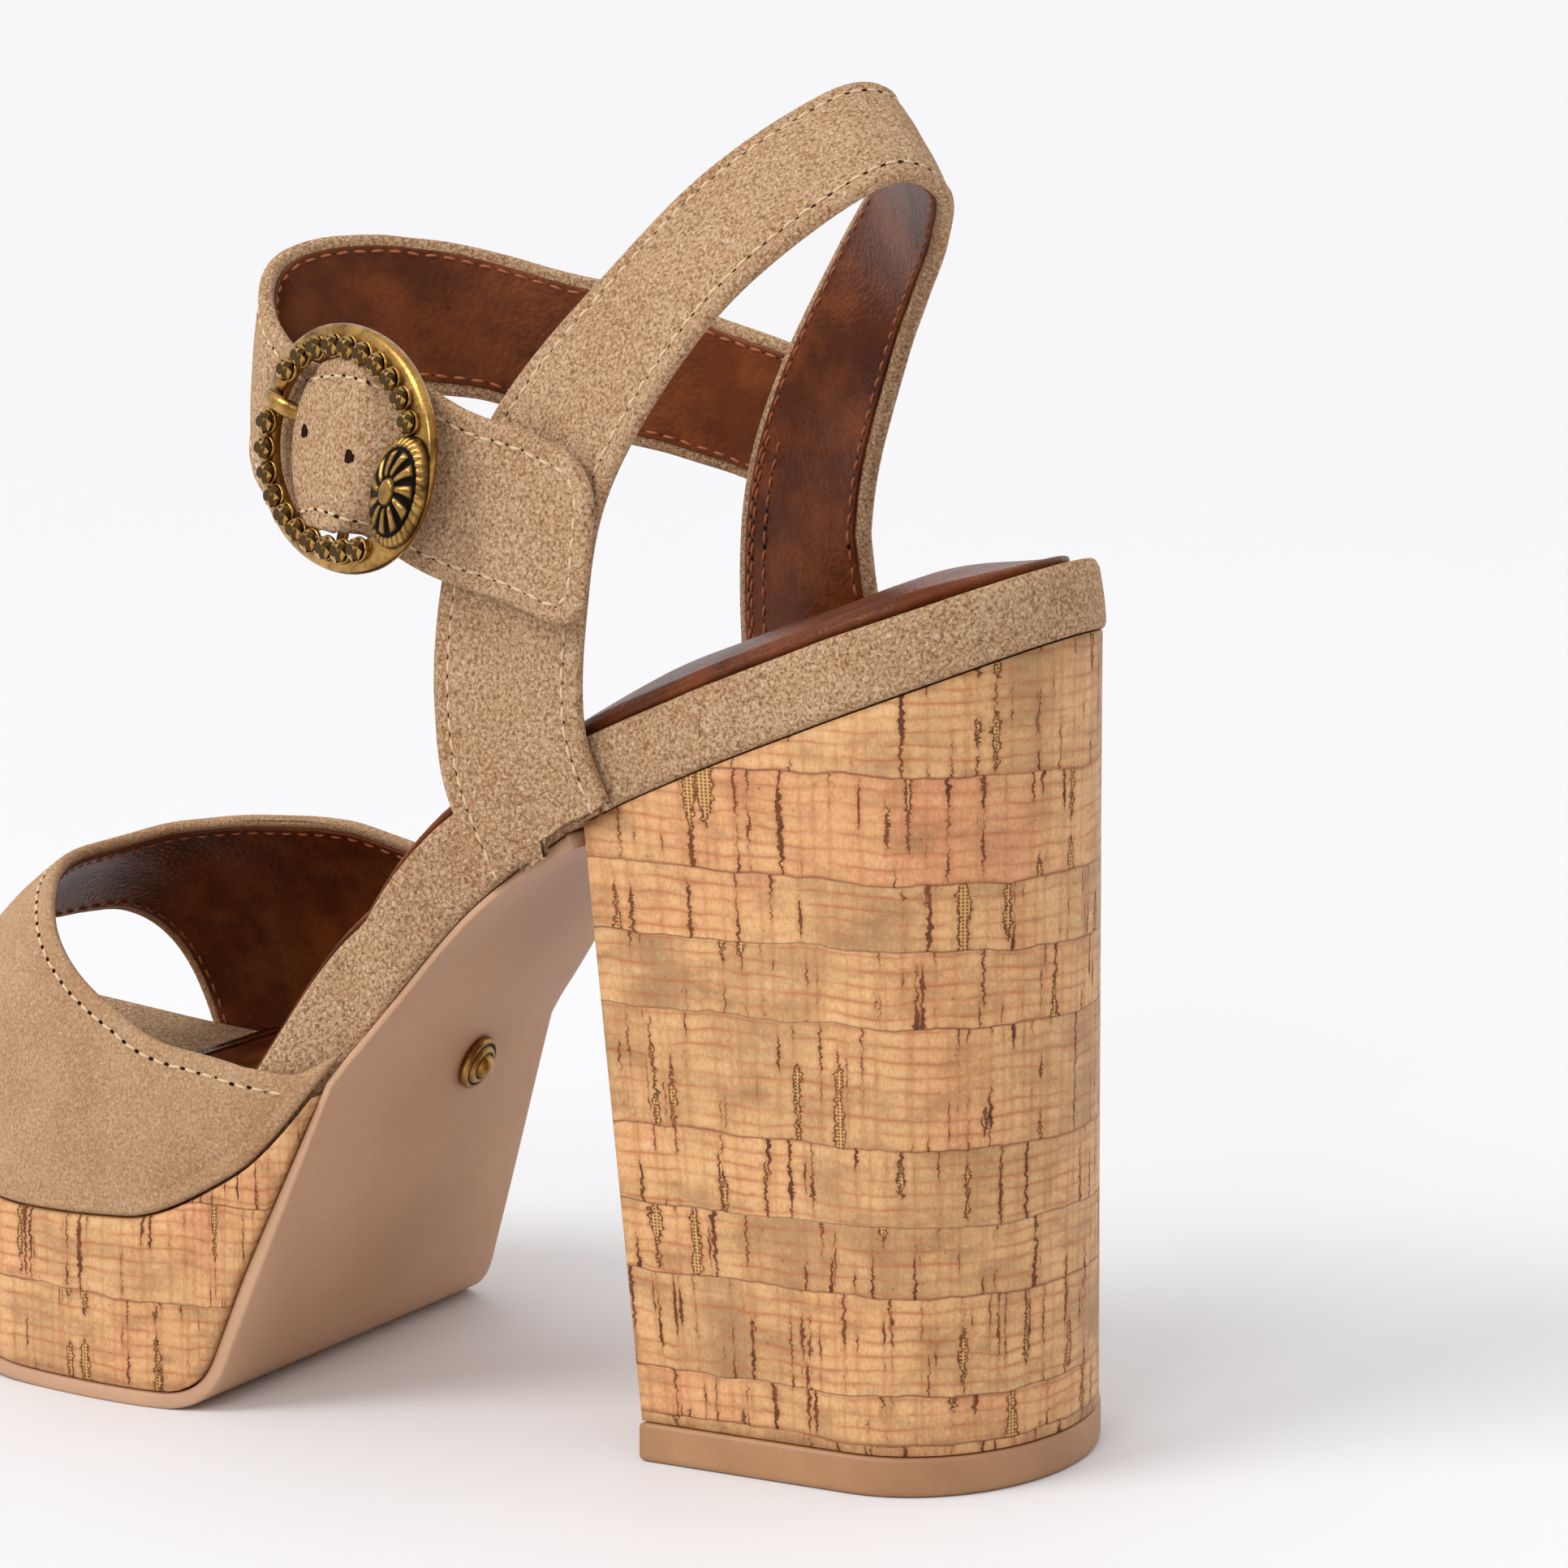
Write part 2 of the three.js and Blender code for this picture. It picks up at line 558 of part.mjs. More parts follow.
// Cork platform between the outsole and the footbed
const PLATFORM_LEAST = 1;
const platformStart = steps(WAIST_END, FLOOR_START, 200)
  .find((y) => underside(y) - GAP - outsoleTop(y) > PLATFORM_LEAST);
const platformStations = [
  ...steps(platformStart, FLOOR_START + 8, 9),
  ...stations(FLOOR_START + 8, TOE_END).slice(1),
];
const platformPairs = outlinePairs(platformStations, 0.1);
piece('platform', plate([
  { pairs: platformPairs, height: (x, y) => outsoleTop(y) },
  { pairs: platformPairs, height: (x, y) => underside(y) - GAP },
], 4), CORK);

// Cork heel: a D that narrows towards the floor, cut to the slope of the footbed
function heelStations() {
  const round = steps(toRadians(9), toRadians(90), 7).map((angle) => 0.4 * (1 - Math.cos(angle)));
  return [...round, ...steps(0.4, 1, 5).slice(1)];
}
const heelTop = heelStations().map((share) => outlinePairs([share * HEEL_TOP_DEPTH], HEEL_INSET)[0]);
function heelTipPairs(inset) {
  return heelStations().map((share) => {
    const depth = clamp(1 - share / 0.4, 0, 1);
    const half = (HEEL_TIP_WIDTH / 2 - inset) * Math.sqrt(1 - depth * depth);
    const y = inset + share * (HEEL_TIP_DEPTH - 2 * inset);
    return [[-half, y], [half, y]];
  });
}
piece('heel', plate([
  { pairs: heelTipPairs(0.3), height: () => TOP_LIFT_THICKNESS + GAP },
  { pairs: heelTop, height: (x, y) => underside(y) - GAP },
], 4), CORK);
piece('top_lift', plate([
  { pairs: heelTipPairs(0.8), height: () => 0 },
  { pairs: heelTipPairs(0), height: () => 0.8 },
  { pairs: heelTipPairs(0), height: () => TOP_LIFT_THICKNESS },
], 4), TIP_TAN);

// Toe piece: an arch over the footbed, open at the throat, at the toes and underneath
function vampPoint(turn, y) {
  const [outer, inner] = outline(y);
  const middle = CREST_SIDE * BALL_WIDTH;
  const angle = toRadians(turn);
  const power = 2 / CREST_POWER;
  const across = Math.sign(Math.cos(angle)) * Math.abs(Math.cos(angle)) ** power;
  const height = Math.max(0, Math.sin(angle)) ** power;
  const x = across > 0 ? middle - (middle - outer) * across : middle - (inner - middle) * across;
  const crest = through(CREST, 'height', y / SHOE_LENGTH) * TOE_BOX_HEIGHT;
  return new THREE.Vector3(x, y, bed(y) + crest * height);
}
const vampRows = steps(0, VAMP_EDGES.length - 1, 2 * (VAMP_EDGES.length - 1)).map((place) => {
  const edge = blend(VAMP_EDGES, place);
  const turn = clamp(edge.turn, 0, 180);
  return steps(edge.throat, edge.toe, 9).map((share) => vampPoint(turn, share * SHOE_LENGTH));
});
const vampCentre = (p) => new THREE.Vector3(CREST_SIDE * BALL_WIDTH, p.y, bed(p.y));
piece('vamp', shell(vampRows, UPPER_WALL, vampCentre), SUEDE);

// Straps: a grid across the width at each place along the middle line
function strapGrid(centreAt, widthAt, places, columns, shape) {
  return places.map((place) => {
    const centre = centreAt(place);
    const width = widthAt(place);
    return steps(-0.5, 0.5, columns).map((share) => shape(centre.clone().addScaledVector(width, share)));
  });
}
function widthLine(lean, tuck, width) {
  const [up, side] = [toRadians(lean), toRadians(tuck)];
  return new THREE.Vector3(
    Math.sin(side),
    Math.cos(side) * Math.cos(up),
    Math.cos(side) * Math.sin(up),
  ).multiplyScalar(width);
}
const HALF_ANKLE = ANKLE_WIDTH / 2;

// Sling strap: its feet lie flat on the footbed's edge
function slingCentre(place) {
  const row = blend(SLING, place);
  const y = row.along * SHOE_LENGTH;
  return new THREE.Vector3(row.side * HALF_ANKLE, y, bed(y) + row.rise * SLING_RISE);
}
function slingWidth(place) {
  const row = blend(SLING, place);
  return widthLine(row.lean, row.tuck, STRAP_WIDTH);
}
function hugFootbed(p) {
  const [outer, inner] = outline(p.y);
  const reach = STRAP_WALL + GAP;
  const above = p.z - footbedTop(p.x, p.y);
  const hold = clamp(1 - (above - 3) / 12, 0, 1);
  const flat = p.x < 0 ? outer - reach : inner + reach;
  const proud = p.x < 0 ? Math.min(p.x, flat) : Math.max(p.x, flat);
  p.x += (proud - p.x) * hold;
  p.z = Math.max(p.z, underside(p.y));
  return p;
}
const slingPlaces = steps(0, SLING.length - 1, 3 * (SLING.length - 1));
const slingGrid = strapGrid(slingCentre, slingWidth, slingPlaces, 4, hugFootbed);
const ankleAxis = (share) => (p) => new THREE.Vector3(0, share * SHOE_LENGTH, p.z);
piece('sling_strap', shell(slingGrid, STRAP_WALL, ankleAxis(0.34)), SUEDE);

// Ankle strap: free end, buckle, instep, and the end sewn to the outside of the sling strap
function ankleCentre(place) {
  const row = blend(ANKLE, place);
  const y = row.along * SHOE_LENGTH;
  const out = Math.sign(row.side) * clamp(row.over, 0, 1) * (STRAP_WALL + GAP);
  return new THREE.Vector3(row.side * HALF_ANKLE + out, y, bed(y) + row.rise * ANKLE_RISE);
}
const ANKLE_LENGTHS = steps(0, ANKLE.length - 1, 240).map((place) => ankleCentre(place));
function ankleDistance(place) {
  const end = Math.round((place / (ANKLE.length - 1)) * 240);
  let sum = 0;
  for (let k = 1; k <= end; k += 1) sum += ANKLE_LENGTHS[k].distanceTo(ANKLE_LENGTHS[k - 1]);
  return sum;
}
function ankleWidth(place) {
  const distance = ankleDistance(place);
  const short = Math.max(0, STRAP_END_RADIUS - distance);
  const corner = STRAP_END_RADIUS - Math.sqrt(STRAP_END_RADIUS ** 2 - short ** 2);
  return widthLine(blend(ANKLE, place).lean, 0, STRAP_WIDTH - 2 * corner);
}

// The buckle's own frame: x towards the strap's free end, y across the strap, z away from the leg
const towardsEnd = ankleCentre(BUCKLE_PLACE - 0.4).sub(ankleCentre(BUCKLE_PLACE + 0.4)).normalize();
const acrossStrap = widthLine(blend(ANKLE, BUCKLE_PLACE).lean, 0, 1);
const awayFromLeg = towardsEnd.clone().cross(acrossStrap).normalize();
if (awayFromLeg.x > 0) awayFromLeg.negate();
const upStrap = awayFromLeg.clone().cross(towardsEnd).normalize();
const buckleCentre = ankleCentre(BUCKLE_PLACE).addScaledVector(upStrap, -BUCKLE_DROP);
[towardsEnd, upStrap].forEach((axis) => axis.applyAxisAngle(awayFromLeg, toRadians(BUCKLE_TILT)));
const buckleFrame = new THREE.Matrix4().makeBasis(towardsEnd, upStrap, awayFromLeg).setPosition(buckleCentre);
const intoBuckle = buckleFrame.clone().invert();

// The strap rises over the buckle's bar
const BAR_DEPTH = -1.0;
const HUMP_FRONT = 0.36 * BUCKLE_WIDTH;
const HUMP_BACK = 0.29 * BUCKLE_WIDTH;
const HUMP_HALF_WIDTH = 0.368 * BUCKLE_HEIGHT;
const HUMP_CROWN = 0.45;
const HUMP_HEIGHT = BAR_DEPTH + BAR_RADIUS + CHAPE_WALL + 2 * GAP + STRAP_WALL;
function overBar(p) {
  const local = p.clone().applyMatrix4(intoBuckle);
  const across = clamp(Math.abs(local.y) / HUMP_HALF_WIDTH, 0, 0.98);
  const reach = (local.x < 0 ? HUMP_FRONT : HUMP_BACK) * Math.sqrt(1 - across ** 2);
  const share = clamp((Math.abs(local.x) / reach - HUMP_CROWN) / (1 - HUMP_CROWN), 0, 1);
  const near = p.x < 0 ? Math.cos((share * Math.PI) / 2) ** 2 : 0;
  return p.clone().addScaledVector(awayFromLeg, HUMP_HEIGHT * near);
}
const anklePlaces = [
  ...steps(0, 0.45, 6),
  ...steps(0.45, BUCKLE_PLACE - 0.9, 6).slice(1),
  ...steps(BUCKLE_PLACE - 0.9, BUCKLE_PLACE + 0.9, 14).slice(1),
  ...steps(BUCKLE_PLACE + 0.9, ANKLE.length - 1, 22).slice(1),
];
const ankleGrid = strapGrid(ankleCentre, ankleWidth, anklePlaces, 4, overBar);
const ankleBody = solid(shell(ankleGrid, STRAP_WALL, ankleAxis(0.44)));

// Prong: a ring round the bar, then a pin through the strap whose tip lies on the front rail
const RAIL_TOP = GAP + RAIL_THICKNESS;
const PRONG_RING = BAR_RADIUS + GAP + 0.9;
function pinRings(points, radius) {
  const curve = new THREE.CatmullRomCurve3(points);
  return curve.getPoints(10).map((p, k) => {
    const tangent = curve.getTangent(k / 10);
    const side = new THREE.Vector3(0, 1, 0);
    const up = tangent.clone().cross(side).normalize();
    return steps(0, 2 * Math.PI, 8).slice(0, -1).map((angle) => p.clone()
      .addScaledVector(side, radius * Math.cos(angle))
      .addScaledVector(up, radius * Math.sin(angle)));
  });
}
const prongLine = [
  [-PRONG_RING + 0.3, 0, BAR_DEPTH + 0.2],
  [-0.20 * BUCKLE_WIDTH, PRONG_SHIFT * 0.5, BAR_DEPTH + 0.7],
  [-0.30 * BUCKLE_WIDTH, PRONG_SHIFT * 0.8, RAIL_TOP * 0.75],
  [-BUCKLE_WIDTH / 2 + RAIL_WIDTH, PRONG_SHIFT, RAIL_TOP + PRONG_RADIUS + GAP],
  [-BUCKLE_WIDTH / 2 + 1.2, PRONG_SHIFT, RAIL_TOP + PRONG_RADIUS + GAP],
].map((p) => new THREE.Vector3(...p));
const prongHole = tube(pinRings([
  prongLine[0].clone().add(new THREE.Vector3(2, 0, -2)),
  ...prongLine,
], PRONG_RADIUS + GAP), false);
const ankleCut = ankleBody.subtract(solid(prongHole.applyMatrix4(buckleFrame)));
piece('ankle_strap', fromSolid(ankleCut), SUEDE);

const PRONG_RING_WIDTH = 2.4;
const pinAlongStrap = (from, to, radius) => steps(0, 1, 1).map((share) => {
  const middle = from.clone().lerp(to, share);
  return steps(0, 2 * Math.PI, 12).slice(0, -1).map((angle) => middle.clone()
    .add(new THREE.Vector3(radius * Math.cos(angle), 0, radius * Math.sin(angle))));
});
function collar(radius, hole, half, offset = 0) {
  const end = (y) => new THREE.Vector3(0, offset + y, BAR_DEPTH);
  const outside = solid(tube(pinAlongStrap(end(-half), end(half), radius), false));
  return outside.subtract(solid(tube(pinAlongStrap(end(-half - 1), end(half + 1), hole), false)));
}
const prongPin = solid(tube(pinRings(prongLine, PRONG_RADIUS), false));
const prongRoot = collar(PRONG_RING, BAR_RADIUS + GAP, PRONG_RING_WIDTH / 2);
const prong = piece('buckle_prong', fromSolid(prongPin.add(prongRoot)), OLD_GOLD);
prong.applyMatrix4(buckleFrame);

// Buckle frame: an oval ring with one broad rail, and a sunk bar between two posts
function railPoint(angle, outward, depth) {
  const power = 2 / 2.1;
  const round = (value) => Math.sign(value) * Math.abs(value) ** power;
  const x = round(Math.cos(angle));
  const y = round(Math.sin(angle));
  const halfRail = railWidth(angle) / 2;
  const reach = (size) => size / 2 - halfRail + outward * halfRail;
  return new THREE.Vector3(x * reach(BUCKLE_WIDTH), y * reach(BUCKLE_HEIGHT), depth);
}
function railWidth(angle) {
  const broad = Math.max(0, Math.cos(angle)) ** 2;
  return RAIL_WIDTH + (BROAD_RAIL_WIDTH - RAIL_WIDTH) * broad;
}
const RAIL_MIDDLE = GAP + RAIL_THICKNESS / 2;
const railRings = steps(0, 2 * Math.PI, 40).slice(0, -1).map((angle) => (
  steps(0, 2 * Math.PI, 8).slice(0, -1).map((turn) => railPoint(
    angle,
    Math.cos(turn),
    RAIL_MIDDLE + (Math.sin(turn) * RAIL_THICKNESS) / 2,
  ))
));
const barEnd = BUCKLE_HEIGHT / 2 - RAIL_WIDTH / 2;
const barPin = pinAlongStrap(
  new THREE.Vector3(0, -barEnd, BAR_DEPTH),
  new THREE.Vector3(0, barEnd, BAR_DEPTH),
  BAR_RADIUS,
);
const barPost = (side) => {
  const box = new THREE.BoxGeometry(2 * BAR_RADIUS, 1.8, RAIL_MIDDLE - BAR_DEPTH + BAR_RADIUS);
  const merged = welded(box);
  merged.translate(0, side * barEnd, (RAIL_MIDDLE + BAR_DEPTH - BAR_RADIUS) / 2);
  return solid(merged);
};
const frameBody = solid(tube(railRings, true)).add(solid(tube(barPin, false)))
  .add(barPost(-1)).add(barPost(1));
piece('buckle_frame', fromSolid(frameBody), OLD_GOLD).applyMatrix4(buckleFrame);

// Chape: a leather loop round the bar, slotted for the prong, sewn inside the sling strap
const CHAPE_RING = BAR_RADIUS + GAP + CHAPE_WALL;
const chapeSide = (CHAPE_WIDTH - PRONG_RING_WIDTH - 2 * GAP) / 4 + PRONG_RING_WIDTH / 2 + GAP;
const chapeHalf = (CHAPE_WIDTH - PRONG_RING_WIDTH - 2 * GAP) / 4;
const chapeLine = [
  { share: 0, sink: 0 },
  { share: 0.3, sink: 0.1 },
  { share: 0.58, sink: 0.5 },
  { share: 0.8, sink: 0.8 },
  { share: 1, sink: 1 },
];
const chapeGrid = steps(0, chapeLine.length - 1, 12).map((place) => {
  const { share, sink } = blend(chapeLine, place);
  const depth = BAR_DEPTH - CHAPE_RING + CHAPE_WALL - sink * CHAPE_SINK;
  return steps(-0.5, 0.5, 2).map((side) => new THREE.Vector3(share * CHAPE_LENGTH, side * CHAPE_WIDTH, depth));
});
const chapeTail = solid(shell(chapeGrid, CHAPE_WALL, (p) => p.clone().add(new THREE.Vector3(0, 0, -10))));
const slotWidth = PRONG_RING_WIDTH + 2 * GAP;
const prongSlot = welded(new THREE.BoxGeometry(2 * (PRONG_RING + GAP), slotWidth, 8));
const chapeLoops = [-1, 1].map((side) => collar(CHAPE_RING, BAR_RADIUS + GAP, chapeHalf, side * chapeSide));
const barHole = solid(tube(pinAlongStrap(
  new THREE.Vector3(0, -CHAPE_WIDTH, BAR_DEPTH),
  new THREE.Vector3(0, CHAPE_WIDTH, BAR_DEPTH),
  BAR_RADIUS + GAP,
), false));
const chapeBody = chapeTail.add(chapeLoops[0]).add(chapeLoops[1])
  .subtract(solid(prongSlot))
  .subtract(barHole);
piece('chape', fromSolid(chapeBody), LINING).applyMatrix4(buckleFrame);

// Faceted stones round the frame, leaving room for the prong and the ornament
const STONE_PITCH = 3.85;
const BOSS_ROOM = { first: -46, last: 32 };
const stoneBody = () => welded(new THREE.LatheGeometry([
  new THREE.Vector2(0, 0),
  new THREE.Vector2(STONE_WIDTH * 0.36, 0),
  new THREE.Vector2(STONE_WIDTH / 2, STONE_HEIGHT * 0.35),
  new THREE.Vector2(STONE_WIDTH * 0.3, STONE_HEIGHT),
  new THREE.Vector2(0, STONE_HEIGHT),
], 8).rotateX(Math.PI / 2));
const PRONG_ROOM = { first: 156, last: 183 };
const open = (degrees) => {
  const turn = ((degrees + 180) % 360) - 180;
  const inBoss = turn > BOSS_ROOM.first && turn < BOSS_ROOM.last;
  const inProng = degrees > PRONG_ROOM.first && degrees < PRONG_ROOM.last;
  return !inBoss && !inProng;
};
const seats = steps(0, 360, 720).slice(0, -1).filter(open).map((degrees) => {
  const angle = toRadians(degrees);
  const seat = railPoint(angle, 1 - (2 * STONE_INSET) / railWidth(angle), RAIL_TOP + GAP);
  return { degrees, seat };
});
const seatGap = (a, b) => a.seat.distanceTo(b.seat);
const chosen = seats.reduce((list, candidate) => {
  const clear = list.every((taken) => seatGap(taken, candidate) > STONE_PITCH);
  return clear ? [...list, candidate] : list;
}, []);
chosen.slice(0, STONE_COUNT).forEach(({ seat }, k) => {
  const stone = piece(`stone_${String(k + 1).padStart(2, '0')}`, stoneBody(), STONE);
  stone.applyMatrix4(new THREE.Matrix4().makeTranslation(seat.x, seat.y, seat.z).premultiply(buckleFrame));
});

// Low oval ornament on the frame with a row of ribs
const bossTurn = toRadians(-8);
const bossPlace = railPoint(bossTurn, -0.3, RAIL_TOP + GAP);
const BOSS_TILT = toRadians(-9);
const bossRings = steps(0, 1, 6).map((share) => {
  const angle = (share * Math.PI) / 2;
  const shrink = Math.max(0.04, Math.cos(angle));
  return steps(0, 2 * Math.PI, 28).slice(0, -1).map((turn, k) => {
    const rib = 1 - 0.05 * (k % 2) * Math.sin(2 * angle);
    return new THREE.Vector3(
      (BOSS_WIDTH / 2) * shrink * rib * Math.cos(turn),
      (BOSS_LENGTH / 2) * shrink * rib * Math.sin(turn),
      BOSS_HEIGHT * Math.sin(angle),
    );
  });
});
const boss = piece('buckle_boss', tube(bossRings, false), OLD_GOLD);
boss.applyMatrix4(new THREE.Matrix4().makeRotationZ(BOSS_TILT)
  .premultiply(new THREE.Matrix4().makeTranslation(bossPlace.x, bossPlace.y, bossPlace.z))
  .premultiply(buckleFrame));

// Domed stud on the back of the platform
const STUD_Y = 0.514 * SHOE_LENGTH;
const STUD_X = 0.11 * BALL_WIDTH;
const studIndex = clamp(profile.findIndex((p) => p[0] >= STUD_Y), 1, profile.length - 1);
const [studBack, studFront] = [profile[studIndex - 1], profile[studIndex]];
const studShare = (STUD_Y - studBack[0]) / (studFront[0] - studBack[0]);
const studZ = studBack[1] + (studFront[1] - studBack[1]) * studShare;
const studSlope = Math.atan2(studFront[1] - studBack[1], studFront[0] - studBack[0]);
const stud = piece('sole_stud', welded(new THREE.LatheGeometry([
  new THREE.Vector2(0, 0),
  new THREE.Vector2(STUD_WIDTH * 0.44, 0),
  new THREE.Vector2(STUD_WIDTH / 2, STUD_HEIGHT * 0.25),
  new THREE.Vector2(STUD_WIDTH * 0.42, STUD_HEIGHT * 0.6),
  new THREE.Vector2(STUD_WIDTH * 0.24, STUD_HEIGHT * 0.92),
  new THREE.Vector2(0, STUD_HEIGHT),
], 16).rotateX(-Math.PI / 2)), OLD_GOLD);
stud.rotation.x = studSlope;
stud.position.set(STUD_X, STUD_Y + GAP * Math.sin(studSlope), studZ - GAP * Math.cos(studSlope));

// The origin lies on the floor at the middle of the heel tip
shoe.position.y = -HEEL_TIP_DEPTH / 2;

export default shoe;
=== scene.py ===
# Dressed model of the platform sandal: suede, leather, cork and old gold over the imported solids.
# Lengths are millimetres, with y from the back of the heel, until add_mesh turns them into metres.
import math

import bpy
import numpy as np
from mathutils import Matrix, Vector
from mathutils.kdtree import KDTree


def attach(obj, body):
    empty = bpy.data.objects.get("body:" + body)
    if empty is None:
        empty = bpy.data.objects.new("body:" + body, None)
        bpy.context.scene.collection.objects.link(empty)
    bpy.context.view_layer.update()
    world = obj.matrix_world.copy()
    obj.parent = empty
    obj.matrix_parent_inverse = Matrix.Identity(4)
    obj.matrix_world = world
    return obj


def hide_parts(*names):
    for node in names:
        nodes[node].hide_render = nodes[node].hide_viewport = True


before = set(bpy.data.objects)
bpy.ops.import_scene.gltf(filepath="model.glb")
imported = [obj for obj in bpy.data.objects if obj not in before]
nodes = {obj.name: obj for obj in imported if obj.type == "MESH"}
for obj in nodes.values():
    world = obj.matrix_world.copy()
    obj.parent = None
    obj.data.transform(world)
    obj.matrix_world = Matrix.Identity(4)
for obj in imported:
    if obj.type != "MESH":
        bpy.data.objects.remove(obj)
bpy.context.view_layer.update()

MM = 0.001

# Sizes of the solids
SHOE_LENGTH = 216
BALL_WIDTH = 90
HEEL_HEIGHT = 125
PLATFORM_HEIGHT = 29
TOE_SPRING = 12
FOOTBED_THICKNESS = 11
HEEL_EDGE_LEAN = 1.8
HEEL_EDGE_DROP = 0.9
ARCH_RISE = 5
INSOLE_THICKNESS = 1.5
HEEL_PAD_CROWN = 3.8
OUTSOLE_THICKNESS = 2.5
WAIST_THINNING = 1.3
WAIST_DROP = 0.8
TOP_LIFT_THICKNESS = 6
HEEL_TIP_WIDTH = 60
HEEL_TIP_DEPTH = 58
HEEL_TOP_DEPTH = 69
HEEL_INSET = 0.7
UPPER_WALL = 2
TOE_BOX_HEIGHT = 58
STRAP_WIDTH = 25.5
STRAP_WALL = 2.4
ANKLE_WIDTH = 62
SLING_RISE = 78
ANKLE_RISE = 135
STRAP_END_RADIUS = 7
BUCKLE_HEIGHT = 36.6
BUCKLE_WIDTH = 43
BUCKLE_DROP = 0.5
BUCKLE_TILT = -8
RAIL_WIDTH = 4
BROAD_RAIL_WIDTH = 7
RAIL_THICKNESS = 2.6
BAR_RADIUS = 0.9
CHAPE_WALL = 0.9
STONE_WIDTH = 3.7
STONE_HEIGHT = 1.7
STONE_COUNT = 20
STONE_INSET = 3.4
BOSS_LENGTH = 17.4
BOSS_WIDTH = 12.5
BOSS_HEIGHT = 3
STUD_WIDTH = 9
STUD_HEIGHT = 3
GAP = 0.3

# The last: share of the length, of the heel's climb, and of the ball's width on the outer and inner side
LAST = np.array([
    (0.000, 1.000, 0.306, 0.298),
    (0.064, 0.938, 0.308, 0.304),
    (0.149, 0.861, 0.311, 0.312),
    (0.234, 0.781, 0.320, 0.296),
    (0.319, 0.689, 0.313, 0.273),
    (0.404, 0.555, 0.320, 0.280),
    (0.490, 0.323, 0.369, 0.342),
    (0.575, 0.094, 0.434, 0.442),
    (0.660, 0.010, 0.469, 0.527),
    (0.767, 0.000, 0.442, 0.517),
    (0.873, 0.000, 0.333, 0.489),
    (1.000, 0.000, 0.244, 0.444),
])
HEEL_ROUND_LENGTH = 0.130
HEEL_ROUND_MIDDLE = 0.024
TOE_ROUND_LENGTH = 0.222
TOE_ROUND_MIDDLE = 0.089
TOE_ROUND_POWER = 2.3
SPRING_START = 0.74
HEEL_EASE = 0.13
WAIST_SPAN = (0.32, 0.56, 0.05)
ARCH_SPAN = (0.16, 0.56, 0.14)

# Height of the toe piece's crest along the shoe
CREST = np.array([
    (0.460, 0.83),
    (0.570, 0.93),
    (0.625, 0.97),
    (0.676, 1.00),
    (0.741, 0.98),
    (0.801, 0.91),
    (0.847, 0.78),
    (0.907, 0.53),
    (1.000, 0.24),
])
CREST_SIDE = 0.056
CREST_POWER = 2.4

# Toe piece: angle over the crest, place of the throat edge and of the toe edge
VAMP_EDGES = np.array([
    (0, 0.500, 0.836),
    (4, 0.530, 0.842),
    (12, 0.563, 0.852),
    (20, 0.609, 0.860),
    (27, 0.667, 0.867),
    (34, 0.717, 0.873),
    (42, 0.753, 0.880),
    (52, 0.780, 0.887),
    (64, 0.803, 0.894),
    (78, 0.821, 0.901),
    (90, 0.826, 0.904),
    (99, 0.816, 0.903),
    (107, 0.786, 0.898),
    (112, 0.741, 0.894),
    (116, 0.692, 0.890),
    (121, 0.653, 0.886),
    (130, 0.615, 0.880),
    (146, 0.580, 0.869),
    (164, 0.550, 0.856),
    (180, 0.530, 0.843),
])

# Sling strap: side, along, rise, lean and tuck
SLING = np.array([
    (-1.00, 0.336, -0.04, -36, 0),
    (-1.02, 0.366, 0.22, -15, 0),
    (-1.02, 0.366, 0.48, 3, 2),
    (-1.04, 0.337, 0.72, 17, 12),
    (-0.95, 0.262, 0.91, 24, 29),
    (-0.78, 0.199, 1.02, 30, 32),
    (-0.48, 0.137, 1.08, 35, 35),
    (-0.15, 0.118, 1.04, 42, 29),
    (0.20, 0.140, 0.98, 50, 26),
    (0.53, 0.174, 0.91, 56, 26),
    (0.75, 0.213, 0.82, 47, 24),
    (0.87, 0.258, 0.64, 29, 17),
    (0.91, 0.278, 0.47, 10, 12),
    (0.92, 0.280, 0.22, -6, 12),
    (0.91, 0.266, -0.01, -17, 6),
])

# Ankle strap: side, along, rise, lean, and whether it lies over the sling strap
ANKLE = np.array([
    (-1.13, 0.288, 0.278, 95, 1),
    (-1.08, 0.345, 0.361, 98, 1),
    (-1.02, 0.411, 0.466, 106, 1),
    (-0.98, 0.478, 0.638, 108, 0.6),
    (-0.81, 0.546, 0.773, 97, 0),
    (-0.53, 0.616, 0.909, 96, 0),
    (-0.16, 0.641, 0.981, 92, 0),
    (0.23, 0.606, 0.979, 79, 0),
    (0.60, 0.554, 0.914, 76, 0),
    (0.86, 0.489, 0.748, 83, 0),
    (0.99, 0.421, 0.587, 85, 0.3),
    (1.01, 0.358, 0.474, 80, 1),
    (0.97, 0.276, 0.364, 79, 1),
])
BUCKLE_PLACE = 3.16


def monotone(xs, ys):
    """A curve through points that never overshoots them."""
    slopes = np.diff(ys) / np.diff(xs)
    product = slopes[:-1] * slopes[1:]
    total = slopes[:-1] + slopes[1:]
    inner = np.where(product <= 0, 0, 2 * product / np.where(total == 0, 1, total))
    tangents = np.concatenate([slopes[:1], inner, slopes[-1:]])

    def at(x):
        x = np.clip(x, xs[0], xs[-1])
        i = np.clip(np.searchsorted(xs, x) - 1, 0, len(xs) - 2)
        span = xs[i + 1] - xs[i]
        t = (x - xs[i]) / span
        rise = t * t * (3 - 2 * t)
        bend = t * (1 - t) ** 2 * tangents[i] - t * t * (1 - t) * tangents[i + 1]
        return ys[i] * (1 - rise) + ys[i + 1] * rise + span * bend

    return at


